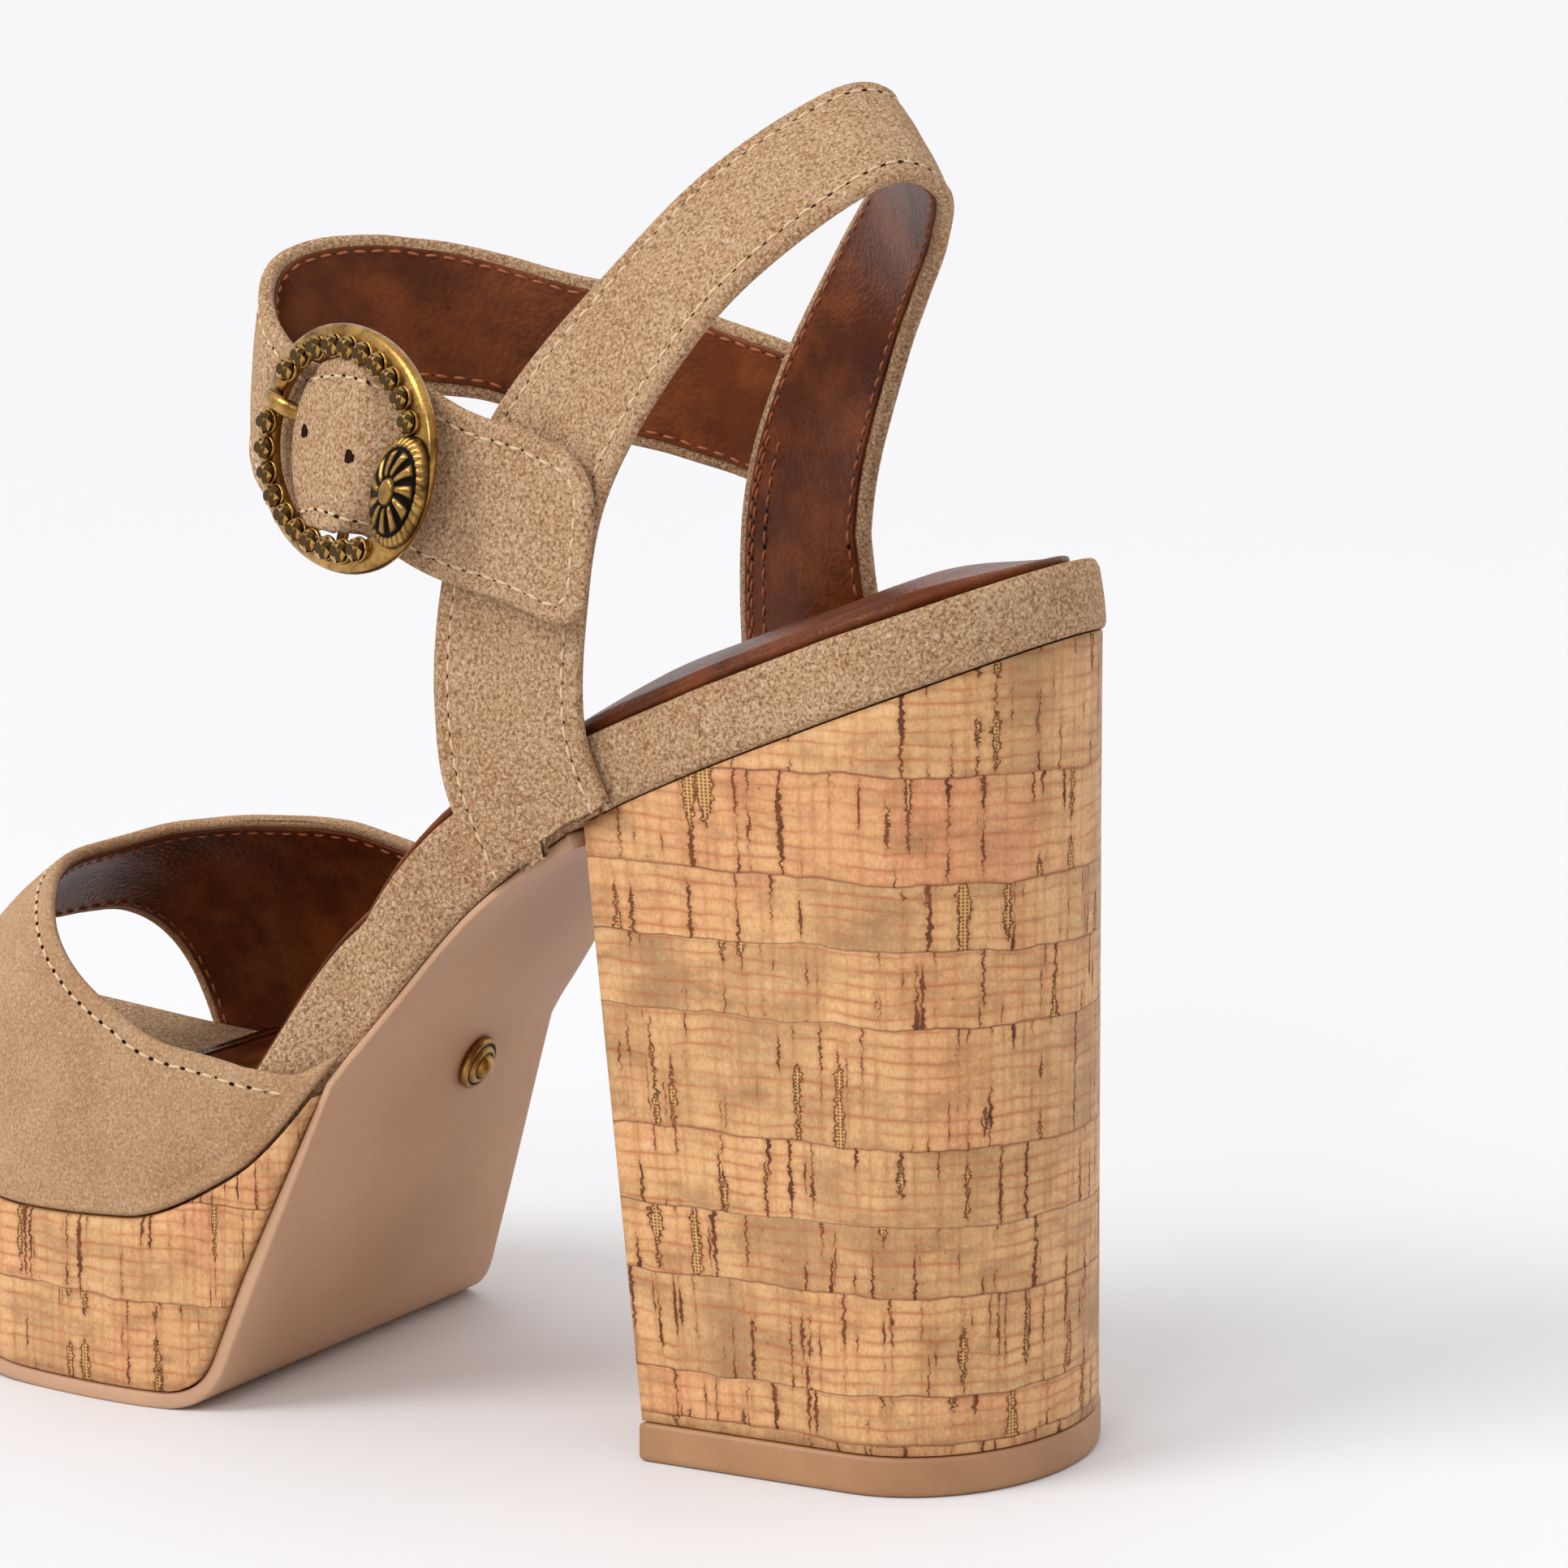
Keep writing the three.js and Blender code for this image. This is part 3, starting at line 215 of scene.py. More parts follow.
def blend(table, place):
    """A smooth blend of a table's rows at a place counted in rows."""
    place = np.asarray(place, float)
    i = np.clip(np.floor(place).astype(int), 0, len(table) - 2)
    t = (place - i)[..., None]

    def row(k):
        return table[np.clip(k, 0, len(table) - 1)]

    a, b, c, d = row(i - 1), row(i), row(i + 1), row(i + 2)
    return b + 0.5 * t * (c - a + t * (2 * a - 5 * b + 4 * c - d + t * (3 * (b - c) + d - a)))


climb_at = monotone(LAST[:, 0], LAST[:, 1])
outer_at = monotone(LAST[:, 0], LAST[:, 2])
inner_at = monotone(LAST[:, 0], LAST[:, 3])
crest_at = monotone(CREST[:, 0], CREST[:, 1])


def toe_lift(y):
    share = np.clip((y / SHOE_LENGTH - SPRING_START) / (1 - SPRING_START), 0, 1)
    return TOE_SPRING * share**2


def bed(y):
    """Height of the footbed's underside."""
    climb = climb_at(y / SHOE_LENGTH)
    return PLATFORM_HEIGHT + climb * (HEEL_HEIGHT - PLATFORM_HEIGHT) + toe_lift(y)


def bed_slope(y):
    return bed(y + 0.5) - bed(y - 0.5)


def swell(y, start, end, ease):
    """Rises from 0 to 1 after the start and falls back before the end."""
    share = y / SHOE_LENGTH
    return np.clip((share - start) / ease, 0, 1) * np.clip((end - share) / ease, 0, 1)


def waist_share(y):
    return swell(y, *WAIST_SPAN)


def underside(y):
    return bed(y) - WAIST_DROP * waist_share(y)


def outsole_thickness(y):
    return OUTSOLE_THICKNESS - WAIST_THINNING * waist_share(y)


def outline(y):
    """Both sides of the shoe's outline at a distance from the heel."""
    share = np.clip(np.asarray(y, float) / SHOE_LENGTH, 0, 1)
    outer = -outer_at(share) * BALL_WIDTH
    inner = inner_at(share) * BALL_WIDTH
    heel_depth = np.clip(1 - share / HEEL_ROUND_LENGTH, 0, 1)
    toe_depth = np.clip((share - 1) / TOE_ROUND_LENGTH + 1, 0, 1)
    heel_width = np.sqrt(1 - heel_depth**2)
    toe_width = (1 - toe_depth**TOE_ROUND_POWER) ** (1 / TOE_ROUND_POWER)
    width = np.minimum(heel_width, toe_width)
    middle = np.where(share < 0.5, HEEL_ROUND_MIDDLE, TOE_ROUND_MIDDLE) * BALL_WIDTH
    closing = width < 1
    outer = np.where(closing, middle + (outer - middle) * width, outer)
    inner = np.where(closing, middle + (inner - middle) * width, inner)
    return outer, inner


def heel_share(y):
    return np.clip(1 - y / (HEEL_EASE * SHOE_LENGTH), 0, 1)


def arch_share(x, y):
    outer, inner = outline(y)
    across = np.clip((x - outer) / np.maximum(inner - outer, 1e-6), 0, 1)
    return swell(y, *ARCH_SPAN) * across**2


def footbed_top(x, y):
    thickness = FOOTBED_THICKNESS * np.hypot(1, bed_slope(y)) - HEEL_EDGE_DROP * heel_share(y)
    return bed(y) + thickness + ARCH_RISE * arch_share(x, y)


# Building meshes

def in_scene(name, data):
    """A new object in the scene."""
    obj = bpy.data.objects.new(name, data)
    bpy.context.scene.collection.objects.link(obj)
    return obj


def add_mesh(name, points, faces, materials, replaced=(), smooth=True, face_slots=None):
    """A mesh piece from points in millimetres, riding on the shoe."""
    mesh = bpy.data.meshes.new(name)
    placed = (np.asarray(points, float).reshape(-1, 3) - (0, HEEL_TIP_DEPTH / 2, 0)) * MM
    mesh.from_pydata(placed.tolist(), [], [list(map(int, f)) for f in faces])
    for material in materials:
        mesh.materials.append(material)
    if face_slots is not None:
        mesh.polygons.foreach_set("material_index", np.asarray(face_slots, np.int32))
    mesh.polygons.foreach_set("use_smooth", [smooth] * len(mesh.polygons))
    mesh.update()
    turn_outward(mesh)
    obj = in_scene(name, mesh)
    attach(obj, "root")
    if replaced:
        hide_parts(*replaced)
    return obj


def read_array(items, name, width=1, kind=np.int32):
    """One property of all the items of a mesh, as an array."""
    values = np.empty(len(items) * width, kind)
    items.foreach_get(name, values)
    return values if width == 1 else values.reshape(-1, width)


def turn_outward(mesh):
    """Turns all faces of a closed mesh so that they face out."""
    co = read_array(mesh.vertices, "co", 3, float)
    co = co - co.mean(0)
    mesh.calc_loop_triangles()
    a, b, c = co[read_array(mesh.loop_triangles, "vertices", 3)].transpose(1, 0, 2)
    if np.einsum("ij,ij->i", a, np.cross(b, c)).sum() < 0:
        mesh.flip_normals()


def grid_faces(numbers, flip=False):
    """Quads between neighbouring rows and columns of a grid of vertex numbers."""
    a, b = numbers[:-1, :-1].ravel(), numbers[1:, :-1].ravel()
    c, d = numbers[1:, 1:].ravel(), numbers[:-1, 1:].ravel()
    quads = np.stack([a, b, c, d], 1)
    return quads[:, ::-1] if flip else quads


def tube_faces(rows, around, closed, caps=True):
    """Faces of a tube of rings."""
    numbers = np.arange(rows * around).reshape(rows, around)
    wrapped = np.concatenate([numbers, numbers[:, :1]], 1)
    if closed:
        wrapped = np.concatenate([wrapped, wrapped[:1]], 0)
    faces = grid_faces(wrapped).tolist()
    if caps and not closed:
        faces.append(numbers[0].tolist())
        faces.append(numbers[-1][::-1].tolist())
    return faces


def fan_faces(sides):
    """Triangles round a middle point, which comes first."""
    return [[0, 1 + k, 1 + (k + 1) % sides] for k in range(sides)]


def repeated(faces, size, count):
    """The same faces for each copy of a piece that has this many points."""
    return [[size * copy + k for k in face] for copy in range(count) for face in faces]


def unit(v):
    return v / np.maximum(np.linalg.norm(v, axis=-1, keepdims=True), 1e-12)


def chart_around(obj, around):
    """A chart of the side walls: distance round the outline, and height, both in tenths of a metre."""
    mesh = obj.data
    corner = read_array(mesh.loops, "vertex_index")
    count = read_array(mesh.polygons, "loop_total")
    level = read_array(mesh.vertices, "co", 3, float)[corner, 2]
    u = around[corner]
    total = around.max()
    face = np.repeat(np.arange(len(count)), count)
    lowest = np.full(len(count), total)
    highest = np.zeros(len(count))
    np.minimum.at(lowest, face, u)
    np.maximum.at(highest, face, u)
    wraps = (highest - lowest)[face] > total / 2
    u = np.where(wraps & (u < total / 2), u + total, u)
    layer = mesh.uv_layers.new(name="around")
    layer.data.foreach_set("uv", np.stack([u / 100, level * 10], 1).astype(np.float32).ravel())


# Plates between stacked rings of pairs of points from heel to toe

def outline_pairs(stations, inset):
    """Outline points at the stations, moved in along the outline's own normal."""
    outer, inner = outline(stations)
    inset = np.broadcast_to(inset, stations.shape)
    loop = np.concatenate([
        np.stack([outer, stations], 1),
        np.stack([inner, stations], 1)[::-1],
    ])
    moved = np.concatenate([inset, inset[::-1]])[:, None]
    along = unit(np.roll(loop, -1, 0) - np.roll(loop, 1, 0))
    normal = np.stack([along[:, 1], -along[:, 0]], 1)
    loop = loop + normal * moved
    count = len(stations)
    return np.stack([loop[:count], loop[count:][::-1]], 1)


def rounded_stations(first, last, step=1.6, turns=26):
    """Distances along the shoe, closer together where the outline turns round an end."""
    heel_round = HEEL_ROUND_LENGTH * SHOE_LENGTH
    toe_round = TOE_ROUND_LENGTH * SHOE_LENGTH
    turn = np.radians(np.linspace(3, 90, turns))
    heel = heel_round * (1 - np.cos(turn))
    toe = SHOE_LENGTH - toe_round * (1 - np.cos(turn))[::-1]
    count = int((SHOE_LENGTH - toe_round - heel_round) / step)
    middle = np.linspace(heel_round, SHOE_LENGTH - toe_round, count)[1:-1]
    every = np.concatenate([heel, middle, toe])
    inside = every[(every > first + 0.02) & (every < last - 0.02)]
    return np.concatenate([[first], inside, [last]])


HEEL_END = HEEL_ROUND_LENGTH * SHOE_LENGTH * (1 - math.cos(math.radians(3)))
TOE_END = SHOE_LENGTH - TOE_ROUND_LENGTH * SHOE_LENGTH * (1 - math.cos(math.radians(3)))


def plate(rings, columns, seam_at_front=False):
    """Points, faces and distances round the outline of a plate. Each ring is (pairs, height function)."""
    share = np.linspace(0, 1, columns + 1)[None, :, None]
    grids = []
    for pairs, height in rings:
        flat = pairs[:, 0][:, None] * (1 - share) + pairs[:, 1][:, None] * share
        grids.append(np.concatenate([flat, height(flat[..., 0], flat[..., 1])[..., None]], 2))
    rows = len(grids[0])
    points, faces, loops, total = [], [], [], 0
    numbers = np.arange(rows * (columns + 1)).reshape(rows, columns + 1)
    border = np.concatenate([
        numbers[:, 0], numbers[-1, 1:-1], numbers[::-1, -1], numbers[0, 1:-1][::-1],
    ])
    if seam_at_front:
        border = np.roll(border, -rows)
    middle = grids[len(grids) // 2].reshape(-1, 3)[border]
    walked = np.concatenate([[0], np.cumsum(np.linalg.norm(np.diff(middle, axis=0), axis=1))])
    around = []
    for k, grid in enumerate(grids):
        flat = grid.reshape(-1, 3)
        if k in (0, len(grids) - 1):
            own = np.zeros(len(flat))
            own[border] = walked
            around.append(own)
            points.append(flat)
            loops.append(border + total)
            faces.extend(grid_faces(numbers + total, flip=k == 0).tolist())
        else:
            around.append(walked)
            points.append(flat[border])
            loops.append(np.arange(len(border)) + total)
        total += len(points[-1])
    for low, high in zip(loops[:-1], loops[1:]):
        quads = np.stack([low, np.roll(low, -1), np.roll(high, -1), high], 1)
        faces.extend(quads.tolist())
    return np.concatenate(points), faces, np.concatenate(around)


# Materials

def linear(red, green, blue):
    """A colour given as 0 to 255 values, in linear light."""
    def channel(value):
        share = value / 255
        return share / 12.92 if share <= 0.04045 else ((share + 0.055) / 1.055) ** 2.4
    return (channel(red), channel(green), channel(blue), 1)


class Recipe:
    """A material's nodes, built one line at a time."""

    def __init__(self, name):
        self.material = bpy.data.materials.new(name)
        self.material.use_nodes = True
        self.tree = self.material.node_tree
        self.tree.nodes.clear()
        self.output = self.add("ShaderNodeOutputMaterial")
        self.shader = self.add("ShaderNodeBsdfPrincipled")
        self.link(self.shader.outputs["BSDF"], self.output.inputs["Surface"])
        self.place = self.add("ShaderNodeTexCoord").outputs["Object"]

    def add(self, kind, **inputs):
        node = self.tree.nodes.new(kind)
        for name, value in inputs.items():
            self.feed(node.inputs[name.replace("_", " ")], value)
        return node

    def link(self, a, b):
        self.tree.links.new(a, b)

    def feed(self, socket, value):
        if isinstance(value, bpy.types.NodeSocket):
            self.link(value, socket)
        else:
            socket.default_value = value

    def set(self, **values):
        for name, value in values.items():
            self.feed(self.shader.inputs[name.replace("_", " ")], value)

    def noise(self, scale, detail=2.0, rough=0.5, vector=None, distortion=0.0):
        return self.add(
            "ShaderNodeTexNoise", Vector=vector or self.place, Scale=scale, Detail=detail,
            Roughness=rough, Distortion=distortion,
        ).outputs["Fac"]

    def cells(self, scale, feature="F1", vector=None):
        node = self.add("ShaderNodeTexVoronoi", Vector=vector or self.place, Scale=scale)
        node.feature = feature
        return node.outputs["Distance"]

    def math(self, operation, a, b=0.0):
        node = self.add("ShaderNodeMath")
        node.operation = operation
        self.feed(node.inputs[0], a)
        self.feed(node.inputs[1], b)
        return node.outputs[0]

    def plus(self, a, b):
        return self.math("ADD", a, b)

    def minus(self, a, b):
        return self.math("SUBTRACT", a, b)

    def times(self, a, b):
        return self.math("MULTIPLY", a, b)

    def span(self, value, low, high, out_low=0.0, out_high=1.0):
        """Maps a value from one range to another, held at both ends."""
        return self.add(
            "ShaderNodeMapRange", Value=value, From_Min=low, From_Max=high, To_Min=out_low,
            To_Max=out_high,
        ).outputs["Result"]

    def mix(self, share, a, b, kind="MIX"):
        node = self.add("ShaderNodeMix")
        node.data_type = "RGBA"
        node.blend_type = kind
        self.feed(node.inputs["Factor"], share)
        self.feed(node.inputs["A"], a)
        self.feed(node.inputs["B"], b)
        return node.outputs["Result"]

    def stain(self, tone, colour, share, *limits):
        """Tints a tone where a pattern lies between its limits."""
        return self.mix(self.span(share, *limits), tone, linear(*colour))

    def ramp(self, value, *stops):
        node = self.add("ShaderNodeValToRGB", Fac=value)
        elements = node.color_ramp.elements
        while len(elements) < len(stops):
            elements.new(0.5)
        for element, (position, colour) in zip(elements, stops):
            element.position = position
            element.color = colour
        return node.outputs["Color"]

    def bump(self, height, depth, strength=1.0):
        node = self.add("ShaderNodeBump", Strength=strength, Distance=depth, Height=height)
        self.link(node.outputs["Normal"], self.shader.inputs["Normal"])


def suede(name, contrast):
    r = Recipe(name)
    clouds = r.noise(38, 2, 0.5)
    smudges = r.noise(150, 2, 0.5)
    nap = r.noise(1850, 3, 0.66, distortion=0.5)
    fibre = r.noise(5200, 2, 0.6)
    base = r.mix(r.span(clouds, 0.35, 0.68), linear(204, 157, 114), linear(222, 178, 135))
    base = r.stain(base, (228, 188, 148), smudges, 0.42, 0.72, 0, 0.35)
    base = r.stain(base, (130, 88, 56), nap, 0.36, 0.49, 0.85 * contrast, 0)
    base = r.stain(base, (250, 222, 188), nap, 0.51, 0.64, 0, 0.80 * contrast)
    base = r.stain(base, (150, 108, 70), fibre, 0.35, 0.7, 0.25, 0)
    r.set(
        Base_Color=base, Roughness=0.95, Specular_IOR_Level=0.1, Sheen_Weight=0.15,
        Sheen_Roughness=0.5, Sheen_Tint=linear(240, 215, 185),
    )
    height = r.plus(r.times(nap, 0.75), r.times(fibre, 0.25))
    r.bump(height, 0.0012, 1.0)
    return r.material


def lining():
    r = Recipe("lining")
    clouds = r.noise(40, 2, 0.5)
    streaks = r.noise(120, 3, 0.6)
    grain = r.cells(1300, "SMOOTH_F1")
    pores = r.noise(2600, 2, 0.6)
    tone = r.mix(r.span(clouds, 0.3, 0.7), linear(74, 33, 13), linear(108, 53, 23))
    tone = r.stain(tone, (146, 77, 34), streaks, 0.42, 0.66, 0, 0.45)
    tone = r.stain(tone, (66, 32, 16), grain, 0.0, 0.35, 0.3, 0)
    r.set(Base_Color=tone, Roughness=r.span(pores, 0.3, 0.7, 0.30, 0.44), Specular_IOR_Level=0.2)
    height = r.plus(r.times(grain, 0.8), r.times(pores, 0.2))
    r.bump(height, 0.00022, 0.7)
    return r.material


def sole_tan():
    r = Recipe("sole_tan")
    clouds = r.noise(22, 2, 0.5)
    fine = r.noise(900, 3, 0.6)
    tone = r.mix(r.span(clouds, 0.35, 0.65), linear(184, 143, 112), linear(203, 162, 129))
    tone = r.stain(tone, (150, 110, 86), fine, 0.4, 0.7, 0, 0.1)
    r.set(Base_Color=tone, Roughness=r.span(clouds, 0.3, 0.7, 0.44, 0.52), Specular_IOR_Level=0.35)
    r.bump(fine, 0.00008, 0.3)
    return r.material


def tip_tan():
    r = Recipe("tip_tan")
    clouds = r.noise(40, 3, 0.6)
    fine = r.noise(1200, 3, 0.6)
    tone = r.mix(r.span(clouds, 0.35, 0.65), linear(164, 118, 80), linear(180, 133, 93))
    tone = r.stain(tone, (140, 96, 64), fine, 0.4, 0.7, 0, 0.15)
    r.set(Base_Color=tone, Roughness=0.48)
    r.bump(fine, 0.00012, 0.3)
    return r.material


def old_gold():
    r = Recipe("old_gold")
    clouds = r.noise(240, 4, 0.65)
    fine = r.noise(2200, 3, 0.6)
    tone = r.mix(r.span(clouds, 0.3, 0.62), linear(108, 76, 34), linear(196, 152, 84))
    tone = r.stain(tone, (64, 44, 20), fine, 0.3, 0.5, 0.35, 0)
    # Points marked as recessed go near black: painted shade in the hollows, together with the patina they
    # hold
    recess = r.add("ShaderNodeAttribute")
    recess.attribute_name = "recess"
    tone = r.mix(recess.outputs["Fac"], tone, linear(22, 18, 14))
    polish = r.span(clouds, 0.3, 0.7, 0.34, 0.2)
    rough = r.plus(polish, r.times(recess.outputs["Fac"], 0.25))
    r.set(Base_Color=tone, Metallic=1.0, Roughness=rough)
    r.bump(fine, 0.00006, 0.4)
    return r.material


def cork(name, joints):
    """Strips of cork between level joints, with growth lines, fissures and the netting under them."""
    r = Recipe(name)
    chart = r.add("ShaderNodeUVMap")
    chart.uv_map = "around"
    parts = r.add("ShaderNodeSeparateXYZ", Vector=chart.outputs["UV"])
    around = r.times(parts.outputs[0], 100.0)
    level = r.times(parts.outputs[1], 100.0)

    def spot(x_scale, z_scale, seed=0.0):
        return r.add(
            "ShaderNodeCombineXYZ", X=r.times(around, x_scale), Y=r.times(level, z_scale), Z=seed,
        ).outputs[0]

    wobble = r.minus(r.noise(1.0, 3, 0.6, spot(0.07, 0.07)), 0.5)
    wavy = r.plus(level, r.times(wobble, 2.6))
    index = 0.0
    nearest = 100.0
    for joint in joints:
        index = r.plus(index, r.math("GREATER_THAN", wavy, joint))
        distance = r.math("ABSOLUTE", r.minus(wavy, joint))
        nearest = r.math("MINIMUM", nearest, distance)
    seed = r.times(index, 7.37)

    # Tint of each strip, changing slowly along it
    own = r.noise(1.0, 1, 0.5, spot(0.0, 0.0, r.times(index, 3.71)))
    along = r.noise(1.0, 3, 0.6, spot(0.035, 0.02, seed))
    tint = r.plus(r.times(own, 0.45), r.times(along, 0.55))
    tone = r.ramp(
        tint,
        (0.36, linear(168, 132, 92)),
        (0.43, linear(196, 152, 104)),
        (0.49, linear(220, 172, 118)),
        (0.55, linear(222, 166, 114)),
        (0.62, linear(214, 146, 104)),
    )
    smoke = r.noise(1.0, 4, 0.65, spot(0.10, 0.20, seed))
    tone = r.stain(tone, (146, 110, 74), smoke, 0.48, 0.72, 0, 0.7)
    tone = r.stain(tone, (234, 190, 140), smoke, 0.30, 0.44, 0.5, 0)
    cells = r.noise(1.0, 3, 0.7, spot(2.2, 0.9))
    tone = r.stain(tone, (156, 108, 66), cells, 0.32, 0.52, 0.38, 0)
    tone = r.stain(tone, (240, 200, 152), cells, 0.55, 0.75, 0, 0.3)

    # Growth lines
    sway = r.noise(1.0, 4, 0.6, spot(0.055, 0.08, seed))
    phase = r.plus(r.times(wavy, 2.9), r.times(sway, 7.0))
    swing = r.math("SINE", phase)
    strength = r.span(r.noise(1.0, 3, 0.6, spot(0.10, 0.30, seed)), 0.36, 0.60, 0.15, 1.0)
    soft = r.span(swing, -0.5, 1.0, 0, 0.28)
    line = r.span(swing, 0.72, 1.0, 0, 0.40)
    growth = r.times(r.plus(soft, line), strength)
    tone = r.mix(growth, tone, linear(176, 102, 58))

    # Fissures run up each strip and stop at its joints
    ragged = r.minus(r.noise(1.0, 4, 0.72, spot(0.45, 0.9)), 0.5)

    def fissures(pitch, x_scale, z_scale, low, high, widest, salt, wander):
        moved = r.plus(around, r.times(ragged, wander))
        shifted = r.plus(moved, r.times(index, salt))
        node = r.add("ShaderNodeTexVoronoi")
        node.voronoi_dimensions = "1D"
        node.inputs["Scale"].default_value = 1.0
        r.feed(node.inputs["W"], r.math("DIVIDE", shifted, pitch))
        distance = r.times(node.outputs["Distance"], pitch)
        room = r.noise(1.0, 3, 0.6, spot(x_scale, z_scale, r.plus(seed, salt)))
        return r.minus(r.span(room, low, high, -0.3, widest), distance)

    hair = fissures(3.1, 0.22, 0.10, 0.46, 0.72, 0.30, 57.1, 1.6)
    thin = fissures(5.6, 0.10, 0.06, 0.40, 0.66, 0.42, 31.7, 2.4)
    broad = fissures(15.0, 0.05, 0.07, 0.43, 0.70, 1.35, 12.9, 2.8)
    cut = r.math("MAXIMUM", r.math("MAXIMUM", hair, thin), broad)
    crack = r.span(cut, -0.04, 0.12)
    blush = r.span(cut, -0.8, 0.0, 0, 0.5)
    inside = r.span(broad, 0.22, 0.36)
    upright = r.math("SINE", r.times(around, 10.0))
    level_strand = r.math("SINE", r.times(level, 12.0))
    strands = r.math("MAXIMUM", upright, r.times(level_strand, 0.8))
    net = r.mix(r.span(strands, 0.0, 0.8), linear(140, 92, 48), linear(214, 168, 108))
    rim = r.mix(r.span(smoke, 0.4, 0.6), linear(66, 34, 18), linear(118, 60, 32))
    tone = r.mix(blush, tone, linear(178, 112, 68))
    tone = r.mix(r.times(crack, 0.92), tone, rim)
    tone = r.mix(inside, tone, net)

    # Pits
    pits = r.cells(1.0, "F1", spot(0.42, 0.42))
    pit = r.times(r.span(pits, 0.05, 0.12, 1, 0), r.span(smoke, 0.45, 0.6))
    tone = r.mix(r.times(pit, 0.7), tone, linear(110, 76, 48))

    # Joints
    joint_line = r.span(nearest, 0.06, 0.22, 1, 0)
    joint_ink = r.times(joint_line, r.span(along, 0.35, 0.6, 0.2, 0.75))
    tone = r.mix(joint_ink, tone, linear(112, 68, 40))
    r.set(Base_Color=tone, Roughness=r.span(crack, 0, 1, 0.5, 0.85), Specular_IOR_Level=0.3)
    height = r.minus(1.0, r.times(crack, 0.7))
    height = r.minus(height, r.times(joint_line, 0.3))
    height = r.minus(height, r.times(growth, 0.25))
    height = r.plus(height, r.times(cells, 0.25))
    height = r.plus(height, r.times(r.times(strands, inside), 0.15))
    r.bump(height, 0.0004, 0.8)
    return r.material


def plain(name, colour, roughness, metallic=0.0, mottle=0.3, shine=0.5):
    r = Recipe(name)
    fine = r.noise(1500, 2, 0.6)
    tone = r.mix(r.span(fine, 0.3, 0.7, 0, mottle), colour, tuple(c * 0.5 for c in colour[:3]) + (1,))
    r.set(Base_Color=tone, Roughness=roughness, Metallic=metallic, Specular_IOR_Level=shine)
    r.bump(fine, 0.00005, 0.3)
    return r.material


HEEL_JOINTS = (7.8, 14.9, 29.5, 39.8, 51.3, 69.0, 80.0, 90.1, 105.4)
PLATFORM_JOINTS = (17.0, 33.0)

SUEDE = suede("suede", 1.0)
SMOOTH_SUEDE = suede("smooth_suede", 0.45)
LINING = lining()
HEEL_CORK = cork("heel_cork", HEEL_JOINTS)
PLATFORM_CORK = cork("platform_cork", PLATFORM_JOINTS)
SOLE_TAN = sole_tan()
TIP_TAN = tip_tan()
OLD_GOLD = old_gold()
THREAD = plain("thread", linear(226, 196, 158), 0.85)
BROWN_THREAD = plain("brown_thread", linear(172, 96, 54), 0.6)
# Dark discs of painted shade for the needle holes and the punched holes
PAINTED_HOLE_SHADE = plain("hole_shade", linear(42, 22, 13), 0.95, shine=0.05)
# Cut stones: their own dark colour, a lit copy and a painted glint, which stand in for reflections in the
# facets
STONE_DARK = plain("stone_dark", linear(82, 60, 32), 0.1, 0.9, 0.1)
STONE_LIT_COPY = plain("stone_painted_lit", linear(178, 138, 70), 0.1, 0.9, 0.1)
STONE_PAINTED_GLINT = plain("stone_painted_glint", linear(255, 222, 150), 0.16, 0.7, 0.1)


# Footbed cover of suede, narrower where the toe piece wraps it
VAMP_START = VAMP_EDGES[0, 1] * SHOE_LENGTH


def wrap_inset(y):
    ramp = 6
    return (UPPER_WALL + 2 * GAP) * np.clip((y - VAMP_START + ramp + 2) / ramp, 0, 1)


def edge_pairs(stations, inset, lean):
    pairs = outline_pairs(stations, inset + wrap_inset(stations))
    pairs[..., 1] += lean * HEEL_EDGE_LEAN * heel_share(pairs[..., 1])
    return pairs


def between(share, lift=0.0):
    def height(x, y):
        low = underside(y)
        return low + (footbed_top(x, y) - low) * share + lift
    return height


footbed_stations = rounded_stations(HEEL_END, TOE_END)
EDGE_EASE = 1.4
rings = [(edge_pairs(footbed_stations, 1.0, 0), between(0.0))]
rings.append((edge_pairs(footbed_stations, 0.35, 0.02), between(0.03)))
for share in np.linspace(0.08, 0.84, 9):
    bulge = 0.25 * math.sin(math.pi * share)
    rings.append((edge_pairs(footbed_stations, 0.1 - bulge, share), between(share)))
for angle in np.radians([22, 45, 67, 90]):
    inset = EDGE_EASE * (1 - math.cos(angle))
    rings.append((edge_pairs(footbed_stations, inset, 1), between(0.86 + 0.14 * math.sin(angle))))
points, faces, around = plate(rings, 28)
add_mesh("footbed_cover", points, faces, [SUEDE], ["footbed"])

# Insole sock with its padded heel seat
SOCK_INSET = 2.2
SOCK_LEAN = 2.5
SOCK_END = 0.80 * SHOE_LENGTH


def pad_crown(x, y):
    outer, inner = outline(np.clip(y, HEEL_END, TOE_END))
    across = np.clip(2 * (x - outer) / (inner - outer) - 1, -1, 1)
    rear = np.clip((y / SHOE_LENGTH - 0.03) / 0.08, 0, 1)
    along = rear * rear * (3 - 2 * rear) * np.clip((0.50 - y / SHOE_LENGTH) / 0.2, 0, 1)
    return HEEL_PAD_CROWN * (1 - across**2) * along


def sock_height(share, crown=0.0):
    def height(x, y):
        return footbed_top(x, y) + GAP + INSOLE_THICKNESS * share + crown * pad_crown(x, y)
    return height


